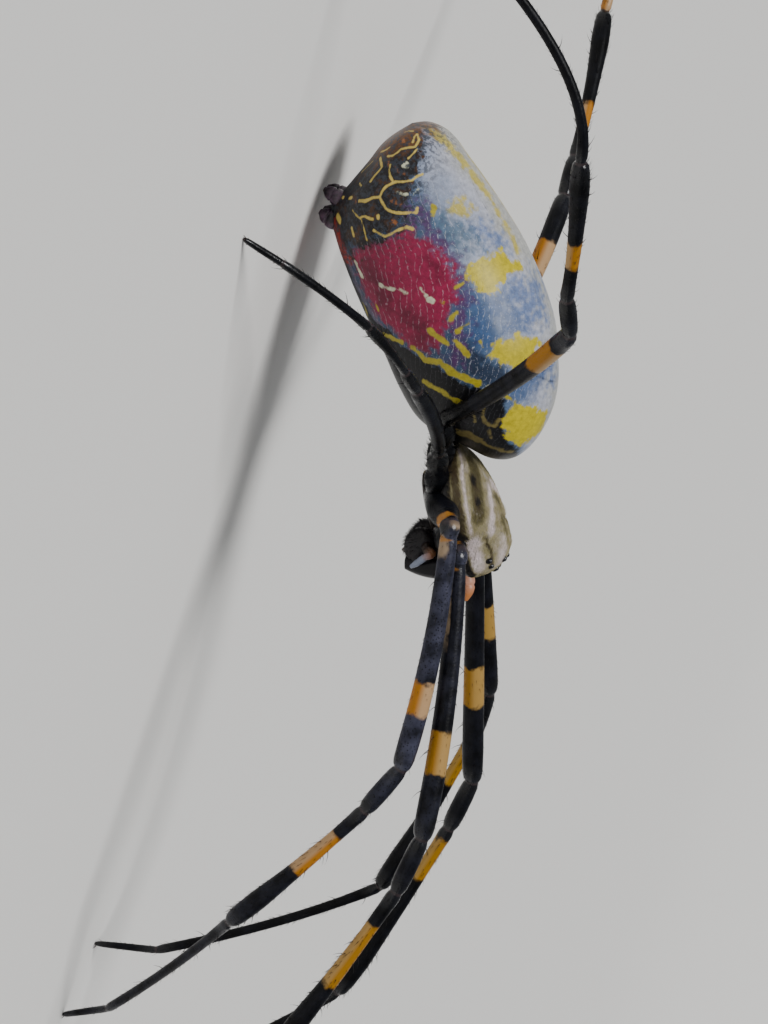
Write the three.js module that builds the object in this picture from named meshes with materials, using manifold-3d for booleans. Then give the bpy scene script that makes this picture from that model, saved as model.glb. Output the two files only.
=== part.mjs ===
// A life-size still model of a female golden silk orb weaver, standing on the tips of its eight feet.
// Millimetres. +Z is up from the floor at Z = 0, the head looks towards -Y, and the left side is +X.
import * as THREE from 'three';
import { mergeVertices } from 'three/addons/utils/BufferGeometryUtils.js';
import Module from 'manifold-3d';

const wasm = await Module();
wasm.setup();

// The clear space left between two pieces that meet.
const GAP = 0.24;
const HALF_GAP = GAP / 2;

// How the two halves of the body are carried: the pitch lifts the front, and the origin is the point
// of the midplane where each half's own lengths are counted from.
const ABDOMEN_PITCH = 41.7;
const ABDOMEN_ORIGIN = new THREE.Vector3(0, 12.9, 2.05);
const PROSOMA_PITCH = 30.3;
const PROSOMA_ORIGIN = new THREE.Vector3(0, 0.75, 10.3);

// Abdomen stations from the rear face to the overhanging front: distance forward, height of the back,
// height of the belly, half width.
const ABDOMEN_SIDES = 24;
const ABDOMEN_RINGS = 24;
const ABDOMEN_STATIONS = [
  [-1.3, 2.75, 2.75, 0],
  [-1.0, 3.5, 1.2, 1.5],
  [-0.4, 4.1, 0.05, 2.4],
  [0.3, 4.42, -1.2, 3.0],
  [1.2, 4.62, -2.25, 3.45],
  [2.4, 4.9, -2.95, 3.85],
  [4.2, 5.25, -3.12, 4.2],
  [6.3, 5.55, -3.14, 4.35],
  [8.5, 5.6, -3.05, 4.35],
  [10.5, 5.4, -3.05, 4.1],
  [12.2, 4.85, -2.85, 3.65],
  [13.4, 4.35, -2.2, 3.2],
  [14.5, 3.6, -1.2, 2.6],
  [15.4, 2.6, -0.45, 1.9],
  [15.9, 1.7, 0.25, 1.0],
  [16.1, 0.95, 0.95, 0],
];

// Carapace stations from the waist to the face: distance forward, height of the back, height of the
// side edge, height of the underside, half width at the edge.
const CARAPACE_SIDES = 24;
const CARAPACE_RINGS = 18;
// How fast the body draws in below the carapace's edge: 1 is a half ellipse, and 2 a keel.
const UNDERSIDE_NARROWING = 1.3;
const CARAPACE_STATIONS = [
  [-0.2, 0.1, 0.1, 0.1, 0],
  [0.0, 0.42, 0.0, -0.35, 0.9],
  [0.5, 0.78, -0.1, -0.7, 1.7],
  [1.2, 1.15, -0.12, -0.95, 2.35],
  [2.2, 1.5, -0.1, -1.1, 2.75],
  [3.2, 1.72, -0.05, -1.1, 2.75],
  [4.0, 1.84, -0.05, -1.1, 2.35],
  [4.7, 1.9, -0.1, -1.05, 1.92],
  [5.35, 1.84, -0.15, -0.95, 1.75],
  [5.9, 1.55, -0.2, -0.85, 1.62],
  [6.3, 1.1, -0.2, -0.65, 1.35],
  [6.52, 0.55, -0.15, -0.4, 0.8],
  [6.6, 0.1, 0.1, 0.1, 0],
];

// The sternum is a flat shield between the hips: its rear and front ends, half width and thickness.
const STERNUM = { rear: 0.9, front: 4.2, height: -1.65, halfWidth: 1.05, halfDepth: 0.28 };

// Each chelicera is a stout barrel hanging from the face, with a short curved fang behind its end.
const CHELICERA = {
  out: 0.78,
  top: [5.9, -0.75],
  end: [5.2, -3.45],
  radii: [0.44, 0.65, 0.7, 0.67, 0.55, 0.35],
};
const CHELICERA_SIDES = 12;
const FANG = { from: [0.85, 4.62, -3.25], to: [0.3, 4.2, -2.75], base: 0.25, tip: 0.12, sag: 0.12 };

// Feelers, as points (out from the midplane, forward, up) in the carapace's own lengths.
const PALP = {
  radii: [0.28, 0.31, 0.28, 0.26, 0.27, 0.26, 0.19],
  endite: { at: [0.9, 3.95, -2.2], size: [0.42, 0.56, 0.62] },
  right: [[0.95, 4.35, -2.1], [1.55, 4.75, -2.0], [1.95, 5.05, -1.72], [2.0, 5.2, -2.35], [1.9, 5.6, -3.0],
    [1.7, 6.0, -3.45]],
  left: [[0.95, 4.35, -2.1], [1.6, 4.9, -1.9], [1.95, 5.8, -1.5], [2.0, 6.8, -1.2], [1.9, 7.6, -1.2],
    [1.75, 8.3, -1.45]],
};

// Eyes as pairs: distance forward on the carapace, distance out from the midplane, radius.
const EYES = {
  front_median: [6.34, 0.3, 0.17],
  rear_median: [5.92, 0.36, 0.16],
  front_lateral: [6.02, 1.08, 0.14],
  rear_lateral: [5.7, 1.3, 0.14],
};
const EYE_SOCKET = 0.05;
const EYE_SIDES = [8, 6];

// Spinnerets as pairs at the lower rear of the abdomen: root, direction, length and radii.
const SPINNERETS = {
  front: {
    root: [0.5, 1.85, -2.62],
    towards: [-0.1, -0.72, -0.55],
    length: 0.85,
    radii: [0.46, 0.42, 0.3, 0.16],
  },
  rear: {
    root: [0.45, 0.95, -1.95],
    towards: [-0.1, -0.8, -0.6],
    length: 0.95,
    radii: [0.42, 0.4, 0.28, 0.16],
  },
};

// The waist runs between a point of the prosoma and one of the abdomen, each as (out, forward, up).
const PEDICEL = { radius: 0.42, sides: 12, start: [0, 0.4, -0.35], end: [0, 12.9, -1.9] };

// Lengths of a leg's segments from front pair to rear pair: femur, patella, tibia, metatarsus, tarsus.
const LEG_LENGTHS = [
  [14.6, 3.1, 11.3, 14.4, 3.8],
  [12.6, 2.9, 9.8, 12.6, 3.4],
  [7.0, 1.9, 4.7, 6.2, 2.4],
  [12.4, 2.4, 8.6, 13.6, 3.6],
];
// Half thickness of each pair's segments at their widest: hip, femur, patella, tibia, metatarsus, tarsus.
const LEG_RADII = [
  [0.6, 0.56, 0.46, 0.53, 0.27, 0.25],
  [0.6, 0.55, 0.46, 0.52, 0.27, 0.25],
  [0.5, 0.42, 0.33, 0.3, 0.25, 0.25],
  [0.54, 0.5, 0.42, 0.48, 0.27, 0.25],
];
// Where each pair leaves the body: root of the coxa under the carapace, and the hip, where the femur
// starts, both as (out, forward, up) in the carapace's own lengths.
const COXA_ROOTS = [[1.0, 4.05, -1.35], [1.3, 3.0, -1.3], [1.5, 1.8, -1.25], [1.15, 0.4, -1.1]];
const HIPS = [[2.5, 4.72, -0.26], [3.7, 3.0, -0.05], [3.5, -0.75, 0.1], [3.1, -2.2, 0.8]];

// The pose of each leg in degrees. A heading is counted outwards from straight ahead, a rise from the
// horizontal. The metatarsus slopes as far as it must for the claw end to reach the floor, and its bow
// is the height in millimetres that its middle is lifted by.
const POSE = {
  leg_right_1: {
    pair: 0, side: -1, headings: [9, 5, -2, 8, 4], rises: [12.5, -6, -17], tarsusDrop: 62, bow: 0.5,
  },
  leg_right_2: {
    pair: 1, side: -1, headings: [7, 3, -4, -32, -36], rises: [8, -21, -29], tarsusDrop: 45, bow: 0.2,
  },
  leg_right_3: {
    pair: 2, side: -1, headings: [127, 127, 125, 124, 122], rises: [-11, -20, -24], tarsusDrop: 50, bow: 0.3,
  },
  leg_right_4: {
    pair: 3, side: -1, headings: [137, 145, 150, 168, 172], rises: [24, -14, -7], tarsusDrop: 86, bow: 2.2,
  },
  leg_left_1: {
    pair: 0, side: 1, headings: [10, 6, 0, 4, 4], rises: [15.5, -7, -14], tarsusDrop: 65, bow: 0.5,
    femurBow: 0,
  },
  leg_left_2: {
    pair: 1, side: 1, headings: [18, 12, -4, -10, -10], rises: [17, -1, -12], tarsusDrop: 75, bow: 0.5,
    femurBow: 0,
  },
  leg_left_3: {
    pair: 2, side: 1, headings: [125, 125, 122, 98, 98], rises: [13, -15, -44], tarsusDrop: 80, bow: 0.4,
  },
  leg_left_4: {
    pair: 3, side: 1, headings: [136, 138, 142, 165, 165], rises: [2.5, -7, -10], tarsusDrop: 60, bow: 1.2,
  },
};
const FEMUR_BOW = 0.35;
const TIBIA_BOW = 0.12;
const LEG_SIDES = 10;
const FOOT_SIDES = 8;

// The coxa's half thicknesses from root to hip and the trochanter's, as shares of the hip's.
const COXA_FORM = [1, 1.05, 1.05, 0.95, 0.72];
const TROCHANTER_SHARE = 0.84;
// Shares of a segment's length and of its half thickness, from its near end to its far end.
const FEMUR_FORM = [[0, 0.7], [0.12, 0.78], [0.4, 0.86], [0.7, 0.98], [0.88, 1], [1, 0.86]];
const PATELLA_FORM = [[0, 0.84], [0.3, 1], [0.75, 1], [1, 0.84]];
const TIBIA_FORM = [[0, 0.68], [0.25, 0.66], [0.55, 0.8], [0.8, 1], [0.93, 0.96], [1, 0.75]];
const METATARSUS_FORM = [[0, 1.1], [0.06, 1.15], [0.3, 1], [0.7, 0.94], [1, 1]];
const TARSUS_FORM = [[0, 1], [0.5, 1], [1, 0.95]];
// A bar's rounded end, as shares of its half thickness there: how long it is, and how wide its face is.
const END_ROUNDING = 0.18;
const END_FACE = 0.8;
// The block under a foot that cuts it level, in millimetres each way.
const FLOOR_BLOCK = 6;

const COLOURS = {
  abdomen: ['#5a7088', 0.42],
  pedicel: ['#2c2624', 0.45],
  carapace: ['#a9a596', 0.6],
  sternum: ['#3a332c', 0.45],
  chelicera: ['#2a2731', 0.22],
  fang: ['#3a1712', 0.18],
  palp: ['#c08a5e', 0.4],
  eye: ['#0c0a0a', 0.06],
  spinneret: ['#3a2c26', 0.5],
  femur: ['#343746', 0.34],
  tibia: ['#2a2b36', 0.38],
  foot: ['#1f2027', 0.42],
};

const spider = new THREE.Group();
const UP = new THREE.Vector3(0, 0, 1);
const radians = THREE.MathUtils.degToRad;

// Merges a shape's shared corners, drops the empty triangles at its poles and turns it face outwards.
function closedShape(geometry) {
  const bare = geometry.clone();
  bare.deleteAttribute('normal');
  bare.deleteAttribute('uv');
  const merged = mergeVertices(bare, 1e-5);
  const corners = merged.index.array;
  const kept = [];
  for (let i = 0; i < corners.length; i += 3) {
    const [a, b, c] = [corners[i], corners[i + 1], corners[i + 2]];
    if (a !== b && b !== c && c !== a) kept.push(a, b, c);
  }
  if (signedVolume(merged.attributes.position, kept) < 0) kept.reverse();
  merged.setIndex(kept);
  return merged;
}

function signedVolume(position, corners) {
  const [a, b, c] = [new THREE.Vector3(), new THREE.Vector3(), new THREE.Vector3()];
  let volume = 0;
  for (let i = 0; i < corners.length; i += 3) {
    a.fromBufferAttribute(position, corners[i]);
    b.fromBufferAttribute(position, corners[i + 1]);
    c.fromBufferAttribute(position, corners[i + 2]);
    volume += a.dot(b.cross(c)) / 6;
  }
  return volume;
}

function asSolid(geometry) {
  const closed = closedShape(geometry);
  const vertProperties = new Float32Array(closed.attributes.position.array);
  const triVerts = new Uint32Array(closed.index.array);
  return new wasm.Manifold(new wasm.Mesh({ numProp: 3, vertProperties, triVerts }));
}

// Gives the largest closed body of a solid back as a geometry.
function asGeometry(solid) {
  const bodies = solid.decompose();
  const largest = bodies.reduce((best, body) => (body.volume() > best.volume() ? body : best));
  const mesh = largest.getMesh();
  const geometry = new THREE.BufferGeometry();
  geometry.setAttribute('position', new THREE.BufferAttribute(new Float32Array(mesh.vertProperties), 3));
  geometry.setIndex(new THREE.BufferAttribute(new Uint32Array(mesh.triVerts), 1));
  return geometry;
}

function joined(shapes) {
  return asGeometry(shapes.map(asSolid).reduce((sum, shape) => sum.add(shape)));
}

function cutClear(geometry, neighbours) {
  return asGeometry(neighbours.reduce((rest, other) => rest.subtract(asSolid(other)), asSolid(geometry)));
}

// The same shape swollen about its middle by a set distance on every side.
function swollen(geometry, distance) {
  const grown = geometry.clone();
  grown.computeBoundingBox();
  const middle = grown.boundingBox.getCenter(new THREE.Vector3());
  const size = grown.boundingBox.getSize(new THREE.Vector3());
  grown.translate(-middle.x, -middle.y, -middle.z);
  grown.scale(1 + (2 * distance) / size.x, 1 + (2 * distance) / size.y, 1 + (2 * distance) / size.z);
  grown.translate(middle.x, middle.y, middle.z);
  return grown;
}

function addMesh(name, geometry, look, carrier = spider) {
  const [color, roughness] = COLOURS[look];
  const mesh = new THREE.Mesh(geometry, new THREE.MeshStandardMaterial({ color, roughness, metalness: 0 }));
  mesh.name = name;
  mesh.geometry.computeVertexNormals();
  carrier.add(mesh);
  return mesh;
}

// A table's column as a smooth curve, read at any share of the table's length.
function column(table, index) {
  return new THREE.SplineCurve(table.map((row) => new THREE.Vector2(row[0], row[index])));
}

// A closed loft: a lathe whose rings are laid at the stations and shaped by the section function.
function loft(stations, rings, sides, section) {
  const profile = [new THREE.Vector2(0, 0)];
  for (let ring = 1; ring < rings; ring += 1) profile.push(new THREE.Vector2(1, ring));
  profile.push(new THREE.Vector2(0, rings));
  const geometry = new THREE.LatheGeometry(profile, sides);
  const curves = stations[0].slice(1).map((value, index) => column(stations, index + 1));
  const position = geometry.attributes.position;
  for (let i = 0; i < position.count; i += 1) {
    const share = Math.round(position.getY(i)) / rings;
    const angle = Math.atan2(position.getX(i), position.getZ(i));
    const values = curves.map((curve) => curve.getPoint(share));
    const onAxis = share === 0 || share === 1;
    const across = onAxis ? 0 : Math.cos(angle);
    const upward = onAxis ? 0 : Math.sin(angle);
    const [out, up] = section(values.map((value) => value.y), across, upward);
    position.setXYZ(i, out, -values[0].x, up);
  }
  return geometry;
}

const abdomenSection = ([back, belly, halfWidth], across, upward) => [
  halfWidth * across,
  (back + belly) / 2 + ((back - belly) / 2) * upward,
];

// Above the side edge the carapace is a dome, and below it the body draws in between the hips.
const carapaceSection = ([back, edge, underside, halfWidth], across, upward) => [
  halfWidth * (upward < 0 ? Math.sign(across) * Math.abs(across) ** UNDERSIDE_NARROWING : across),
  edge + (upward < 0 ? edge - underside : back - edge) * upward,
];

// A round bar along a smooth run of points, with a half thickness at each and rounded ends.
function bar(points, radii, sides) {
  const lengths = points.map((point, i) => (i ? point.distanceTo(points[i - 1]) : 0));
  const along = lengths.map(((sum) => (value) => (sum += value))(0));
  const total = along[along.length - 1];
  const first = radii[0];
  const last = radii[radii.length - 1];
  const profile = [new THREE.Vector2(0, 0), new THREE.Vector2(first * END_FACE, 0)];
  profile.push(new THREE.Vector2(first, first * END_ROUNDING));
  for (let i = 1; i < points.length - 1; i += 1) profile.push(new THREE.Vector2(radii[i], along[i]));
  profile.push(new THREE.Vector2(last, total - last * END_ROUNDING));
  profile.push(new THREE.Vector2(last * END_FACE, total));
  profile.push(new THREE.Vector2(0, total));
  const geometry = new THREE.LatheGeometry(profile, sides);
  const position = geometry.attributes.position;
  for (let i = 0; i < position.count; i += 1) {
    const frame = frameAt(points, along, position.getY(i));
    const at = frame.centre.clone();
    at.addScaledVector(frame.across, position.getX(i)).addScaledVector(frame.upward, position.getZ(i));
    position.setXYZ(i, at.x, at.y, at.z);
  }
  return geometry;
}

function frameAt(points, along, distance) {
  let i = 0;
  while (i < points.length - 2 && along[i + 1] < distance - 1e-6) i += 1;
  const share = (distance - along[i]) / (along[i + 1] - along[i]);
  const centre = points[i].clone().lerp(points[i + 1], share);
  const before = tangentAt(points, i);
  const tangent = before.lerp(tangentAt(points, i + 1), share).normalize();
  const across = new THREE.Vector3().crossVectors(tangent, UP).normalize();
  return { centre, across, upward: new THREE.Vector3().crossVectors(across, tangent) };
}

function tangentAt(points, i) {
  const before = points[Math.max(i - 1, 0)];
  const after = points[Math.min(i + 1, points.length - 1)];
  return after.clone().sub(before).normalize();
}

function ellipsoid(centre, size, widthSegments = 10, heightSegments = 7) {
  const geometry = new THREE.SphereGeometry(1, widthSegments, heightSegments);
  geometry.scale(...size);
  geometry.translate(...centre);
  return geometry;
}

// A leg segment's points and half thicknesses, bowed upwards between its two ends.
function segment(from, to, form, radius, bow, steps) {
  const curve = new THREE.SplineCurve(form.map(([share, thickness]) => new THREE.Vector2(share, thickness)));
  const points = [];
  const radii = [];
  for (let i = 0; i <= steps; i += 1) {
    const row = curve.getPoint(i / steps);
    const share = THREE.MathUtils.clamp(row.x, 0, 1);
    points.push(from.clone().lerp(to, share).addScaledVector(UP, bow * 4 * share * (1 - share)));
    radii.push(radius * row.y);
  }
  return { points, radii };
}

// Cuts a joint's clearance off one end of a run of points.
function shortened(run, atStart, atEnd) {
  const points = run.points.map((point) => point.clone());
  const last = points.length - 1;
  points[0].addScaledVector(tangentAt(points, 0), atStart);
  points[last].addScaledVector(tangentAt(points, last), -atEnd);
  return { points, radii: run.radii };
}

// Two runs end to end as one.
function chained(first, second) {
  const points = [...first.points, ...second.points.slice(1)];
  const radii = [...first.radii, ...second.radii.slice(1)];
  return { points, radii };
}

function direction(side, heading, rise) {
  const level = Math.cos(radians(rise));
  return new THREE.Vector3(
    side * Math.sin(radians(heading)) * level,
    -Math.cos(radians(heading)) * level,
    Math.sin(radians(rise)),
  );
}

// The leg's joints from the hip down to the claw end on the floor.
function legJoints(hip, { pair, side, headings, rises, tarsusDrop }) {
  const lengths = LEG_LENGTHS[pair];
  const joints = [hip];
  rises.forEach((rise, i) => {
    joints.push(joints[i].clone().addScaledVector(direction(side, headings[i], rise), lengths[i]));
  });
  const tarsusHeight = lengths[4] * Math.sin(radians(tarsusDrop));
  const metatarsusDrop = THREE.MathUtils.radToDeg(Math.asin((joints[3].z - tarsusHeight) / lengths[3]));
  joints.push(joints[3].clone().addScaledVector(direction(side, headings[3], -metatarsusDrop), lengths[3]));
  joints.push(joints[4].clone().addScaledVector(direction(side, headings[4], -tarsusDrop), lengths[4]));
  return joints;
}

// The abdomen and the prosoma each have their own carrier, pitched about its origin.
function bodyHalf(origin, pitch) {
  const half = new THREE.Group();
  half.position.copy(origin);
  half.rotation.x = -radians(pitch);
  spider.add(half);
  half.updateMatrixWorld(true);
  return half;
}

const abdomenHalf = bodyHalf(ABDOMEN_ORIGIN, ABDOMEN_PITCH);
const prosomaHalf = bodyHalf(PROSOMA_ORIGIN, PROSOMA_PITCH);

function placedIn(half, geometry) {
  return geometry.clone().applyMatrix4(half.matrixWorld);
}

function broughtInto(half, geometry) {
  return geometry.clone().applyMatrix4(half.matrixWorld.clone().invert());
}

// A point of a body half given as (out, forward, up).
function bodyPoint([out, forward, up], side = 1) {
  return new THREE.Vector3(side * out, -forward, up);
}

function addAbdomen() {
  const shape = loft(ABDOMEN_STATIONS, ABDOMEN_RINGS, ABDOMEN_SIDES, abdomenSection);
  addMesh('abdomen', closedShape(shape), 'abdomen', abdomenHalf);
  return shape;
}

function addSpinnerets(abdomenShape) {
  for (const [place, { root, towards, length, radii }] of Object.entries(SPINNERETS)) {
    for (const [sideName, side] of [['left', 1], ['right', -1]]) {
      const start = bodyPoint(root, side);
      const along = bodyPoint(towards, side).normalize();
      const step = length / (radii.length - 1);
      const points = radii.map((radius, i) => start.clone().addScaledVector(along, step * i));
      const cone = cutClear(bar(points, radii, FOOT_SIDES), [swollen(abdomenShape, HALF_GAP)]);
      addMesh(`spinneret_${place}_${sideName}`, cone, 'spinneret', abdomenHalf);
    }
  }
}

// The carapace's height above its edge at a place on its back.
function carapaceHeight(forward, out) {
  const rows = CARAPACE_STATIONS;
  const next = rows.findIndex((row) => row[0] > forward);
  const [low, high] = [rows[next - 1], rows[next]];
  const share = (forward - low[0]) / (high[0] - low[0]);
  const [back, edge, , halfWidth] = low.slice(1).map((value, i) => value + (high[i + 1] - value) * share);
  return edge + (back - edge) * Math.sqrt(Math.max(0, 1 - (out / halfWidth) ** 2));
}

function addCarapaceAndEyes(abdomenShape) {
  const shape = loft(CARAPACE_STATIONS, CARAPACE_RINGS, CARAPACE_SIDES, carapaceSection);
  const overhang = broughtInto(prosomaHalf, placedIn(abdomenHalf, swollen(abdomenShape, GAP)));
  const sockets = [];
  for (const [place, [forward, out, radius]] of Object.entries(EYES)) {
    for (const [sideName, side] of [['left', 1], ['right', -1]]) {
      const centre = bodyPoint([out, forward, carapaceHeight(forward, out)], side).toArray();
      sockets.push(ellipsoid(centre, Array(3).fill(radius + EYE_SOCKET), ...EYE_SIDES));
      const ball = ellipsoid(centre, Array(3).fill(radius), ...EYE_SIDES);
      addMesh(`eye_${place}_${sideName}`, closedShape(ball), 'eye', prosomaHalf);
    }
  }
  addMesh('carapace', cutClear(shape, [overhang, ...sockets]), 'carapace', prosomaHalf);
  return shape;
}

function addSternum() {
  const { rear, front, height, halfWidth, halfDepth } = STERNUM;
  const size = [halfWidth, (front - rear) / 2, halfDepth];
  const shape = ellipsoid([0, -(front + rear) / 2, height], size, 16, 8);
  addMesh('sternum', closedShape(shape), 'sternum', prosomaHalf);
  return shape;
}

function addChelicerae(carapaceShape) {
  const above = swollen(carapaceShape, GAP);
  const { out, top, end, radii } = CHELICERA;
  for (const [sideName, side] of [['left', 1], ['right', -1]]) {
    const points = radii.map((radius, i) => {
      const share = i / (radii.length - 1);
      const forward = THREE.MathUtils.lerp(top[0], end[0], share);
      return bodyPoint([out, forward, THREE.MathUtils.lerp(top[1], end[1], share)], side);
    });
    const barrel = bar(points, radii, CHELICERA_SIDES);
    const fangPoints = [0, 0.5, 1].map((share) => {
      const point = bodyPoint(FANG.from, side).lerp(bodyPoint(FANG.to, side), share);
      point.z -= FANG.sag * 4 * share * (1 - share);
      return point;
    });
    const fang = bar(fangPoints, [FANG.base, (FANG.base + FANG.tip) / 2, FANG.tip], FOOT_SIDES);
    addMesh(`chelicera_${sideName}`, cutClear(barrel, [above]), 'chelicera', prosomaHalf);
    addMesh(`fang_${sideName}`, cutClear(fang, [swollen(barrel, HALF_GAP)]), 'fang', prosomaHalf);
  }
}

function addPalps(blockers) {
  for (const [sideName, side] of [['left', 1], ['right', -1]]) {
    const route = new THREE.CatmullRomCurve3(PALP[sideName].map((point) => bodyPoint(point, side)));
    const steps = 14;
    const points = route.getPoints(steps);
    const thickness = column(PALP.radii.map((radius, i) => [i, radius]), 1);
    const radii = points.map((point, i) => thickness.getPoint(i / steps).y);
    const { at, size } = PALP.endite;
    const endite = ellipsoid(bodyPoint(at, side).toArray(), size);
    const palp = joined([bar(points, radii, FOOT_SIDES), endite]);
    addMesh(`palp_${sideName}`, cutClear(palp, blockers), 'palp', prosomaHalf);
  }
}

function addPedicel(abdomenShape, carapaceShape) {
  const start = prosomaHalf.localToWorld(bodyPoint(PEDICEL.start));
  const end = abdomenHalf.localToWorld(bodyPoint(PEDICEL.end));
  const points = [0, 0.33, 0.67, 1].map((share) => start.clone().lerp(end, share));
  const tube = bar(points, Array(points.length).fill(PEDICEL.radius), PEDICEL.sides);
  const neighbours = [
    placedIn(abdomenHalf, swollen(abdomenShape, GAP)),
    placedIn(prosomaHalf, swollen(carapaceShape, GAP)),
  ];
  addMesh('pedicel', cutClear(tube, neighbours), 'pedicel');
}

// A leg is three pieces: the coxa, trochanter and femur; the patella and tibia; the metatarsus and tarsus.
// Gives back its coxa, swollen by the clearance, for the next leg to be cut clear of.
function addLeg(name, pose, blockers) {
  const { femurBow = FEMUR_BOW } = pose;
  const [hipRadius, femurRadius, patellaRadius, tibiaRadius, ...footRadii] = LEG_RADII[pose.pair];
  const [metatarsusRadius, tarsusRadius] = footRadii;
  const root = prosomaHalf.localToWorld(bodyPoint(COXA_ROOTS[pose.pair], pose.side));
  const hip = prosomaHalf.localToWorld(bodyPoint(HIPS[pose.pair], pose.side));
  const [, knee, tibiaTop, ankle, tarsusTop, claw] = legJoints(hip, pose);

  const coxaPoints = COXA_FORM.map((share, i) => root.clone().lerp(hip, i / (COXA_FORM.length - 1)));
  const coxa = bar(coxaPoints, COXA_FORM.map((share) => share * hipRadius), LEG_SIDES);
  const trochanter = ellipsoid(hip.toArray(), Array(3).fill(hipRadius * TROCHANTER_SHARE), LEG_SIDES, 6);
  const femur = shortened(segment(hip, knee, FEMUR_FORM, femurRadius, femurBow, 9), 0, HALF_GAP);
  const upper = joined([coxa, trochanter, bar(femur.points, femur.radii, LEG_SIDES)]);
  addMesh(`${name}_femur`, cutClear(upper, blockers), 'femur');

  const patella = segment(knee, tibiaTop, PATELLA_FORM, patellaRadius, 0, 3);
  const tibia = segment(tibiaTop, ankle, TIBIA_FORM, tibiaRadius, TIBIA_BOW, 8);
  const middle = shortened(chained(patella, tibia), HALF_GAP, HALF_GAP);
  addMesh(`${name}_tibia`, closedShape(bar(middle.points, middle.radii, LEG_SIDES)), 'tibia');

  const metatarsus = segment(ankle, tarsusTop, METATARSUS_FORM, metatarsusRadius, pose.bow, 7);
  const belowFloor = claw.clone().addScaledVector(claw.clone().sub(tarsusTop).normalize(), tarsusRadius);
  const tarsus = segment(tarsusTop, belowFloor, TARSUS_FORM, tarsusRadius, 0, 3);
  const lower = shortened(chained(metatarsus, tarsus), HALF_GAP, 0);
  const floorBlock = new THREE.BoxGeometry(FLOOR_BLOCK, FLOOR_BLOCK, FLOOR_BLOCK);
  floorBlock.translate(claw.x, claw.y, -FLOOR_BLOCK / 2);
  const foot = bar(lower.points, lower.radii, FOOT_SIDES);
  addMesh(`${name}_foot`, cutClear(foot, [floorBlock]), 'foot');
  return swollen(coxa, GAP);
}

const abdomenShape = addAbdomen();
addSpinnerets(abdomenShape);
const carapaceShape = addCarapaceAndEyes(abdomenShape);
const sternumShape = addSternum();
addChelicerae(carapaceShape);
addPalps([swollen(carapaceShape, GAP), swollen(sternumShape, GAP)]);
addPedicel(abdomenShape, carapaceShape);

const legBlockers = [
  placedIn(prosomaHalf, swollen(carapaceShape, HALF_GAP)),
  placedIn(prosomaHalf, swollen(sternumShape, HALF_GAP)),
  placedIn(abdomenHalf, swollen(abdomenShape, HALF_GAP)),
];
for (const side of [-1, 1]) {
  const blockers = [...legBlockers];
  for (const [name, pose] of Object.entries(POSE)) {
    if (pose.side === side) blockers.push(addLeg(name, pose, blockers));
  }
}

// The model's origin is the middle of the floor that it covers.
const cover = new THREE.Box3().setFromObject(spider);
const middle = cover.getCenter(new THREE.Vector3());
spider.position.set(-middle.x, -middle.y, 0);

export default spider;
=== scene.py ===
"""A female golden silk orb weaver, life size, standing on the tips of its eight legs."""
import math
import random

import bmesh
import bpy
import numpy as np
from mathutils import Matrix, Vector


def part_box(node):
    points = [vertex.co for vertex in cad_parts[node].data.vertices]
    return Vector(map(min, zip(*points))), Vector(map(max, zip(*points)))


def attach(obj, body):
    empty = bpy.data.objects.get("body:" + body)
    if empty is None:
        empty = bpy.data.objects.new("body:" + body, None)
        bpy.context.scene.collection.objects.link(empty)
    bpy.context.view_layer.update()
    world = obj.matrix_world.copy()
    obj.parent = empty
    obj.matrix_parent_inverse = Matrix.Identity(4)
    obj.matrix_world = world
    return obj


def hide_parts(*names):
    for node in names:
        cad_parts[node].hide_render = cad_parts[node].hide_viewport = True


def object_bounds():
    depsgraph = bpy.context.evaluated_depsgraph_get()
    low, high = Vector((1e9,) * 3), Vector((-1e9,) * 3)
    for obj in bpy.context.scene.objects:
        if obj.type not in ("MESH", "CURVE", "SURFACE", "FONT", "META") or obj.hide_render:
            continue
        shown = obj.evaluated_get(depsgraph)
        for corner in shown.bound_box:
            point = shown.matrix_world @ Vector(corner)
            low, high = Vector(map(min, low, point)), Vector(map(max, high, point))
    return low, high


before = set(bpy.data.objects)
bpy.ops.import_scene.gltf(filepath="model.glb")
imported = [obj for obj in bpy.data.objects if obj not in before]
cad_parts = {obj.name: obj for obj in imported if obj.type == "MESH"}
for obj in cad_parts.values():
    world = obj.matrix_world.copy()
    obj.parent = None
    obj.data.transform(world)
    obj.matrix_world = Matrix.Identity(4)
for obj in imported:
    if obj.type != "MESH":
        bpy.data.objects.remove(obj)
cad_box = [list(corner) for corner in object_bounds()]

# The viewpoint. The camera lies on its side, low beside the animal's right flank, as the
# photograph was taken of an animal that hung head down.
MM = 0.001
UP = Vector((0, 0, 1))
# how far the head half leans back, where its origin lies and where the middle of its sternum is
PROSOMA_PITCH = math.radians(30.3)
PROSOMA_ORIGIN_MM = Vector((0, 0.75, 10.3))
STERNUM_MIDDLE_MM = Vector((0, -2.55, -1.65))

low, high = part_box("sternum")
prosoma_turn = Matrix.Rotation(-PROSOMA_PITCH, 3, "X")
prosoma_origin = (low + high) / 2 - prosoma_turn @ STERNUM_MIDDLE_MM * MM
model_shift = prosoma_origin - PROSOMA_ORIGIN_MM * MM

AZIMUTH, ELEVATION, ROLL = math.radians(-108), math.radians(6), math.radians(20.5)
DISTANCE_MM = 240
AIM_MM = Vector((0, 0, 11))
# how far the camera slides across the picture, to its right and up
SLIDE_MM = (-3.8506, -2.2662)
LENS_MM, SENSOR_MM = 168.75, 36

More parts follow.
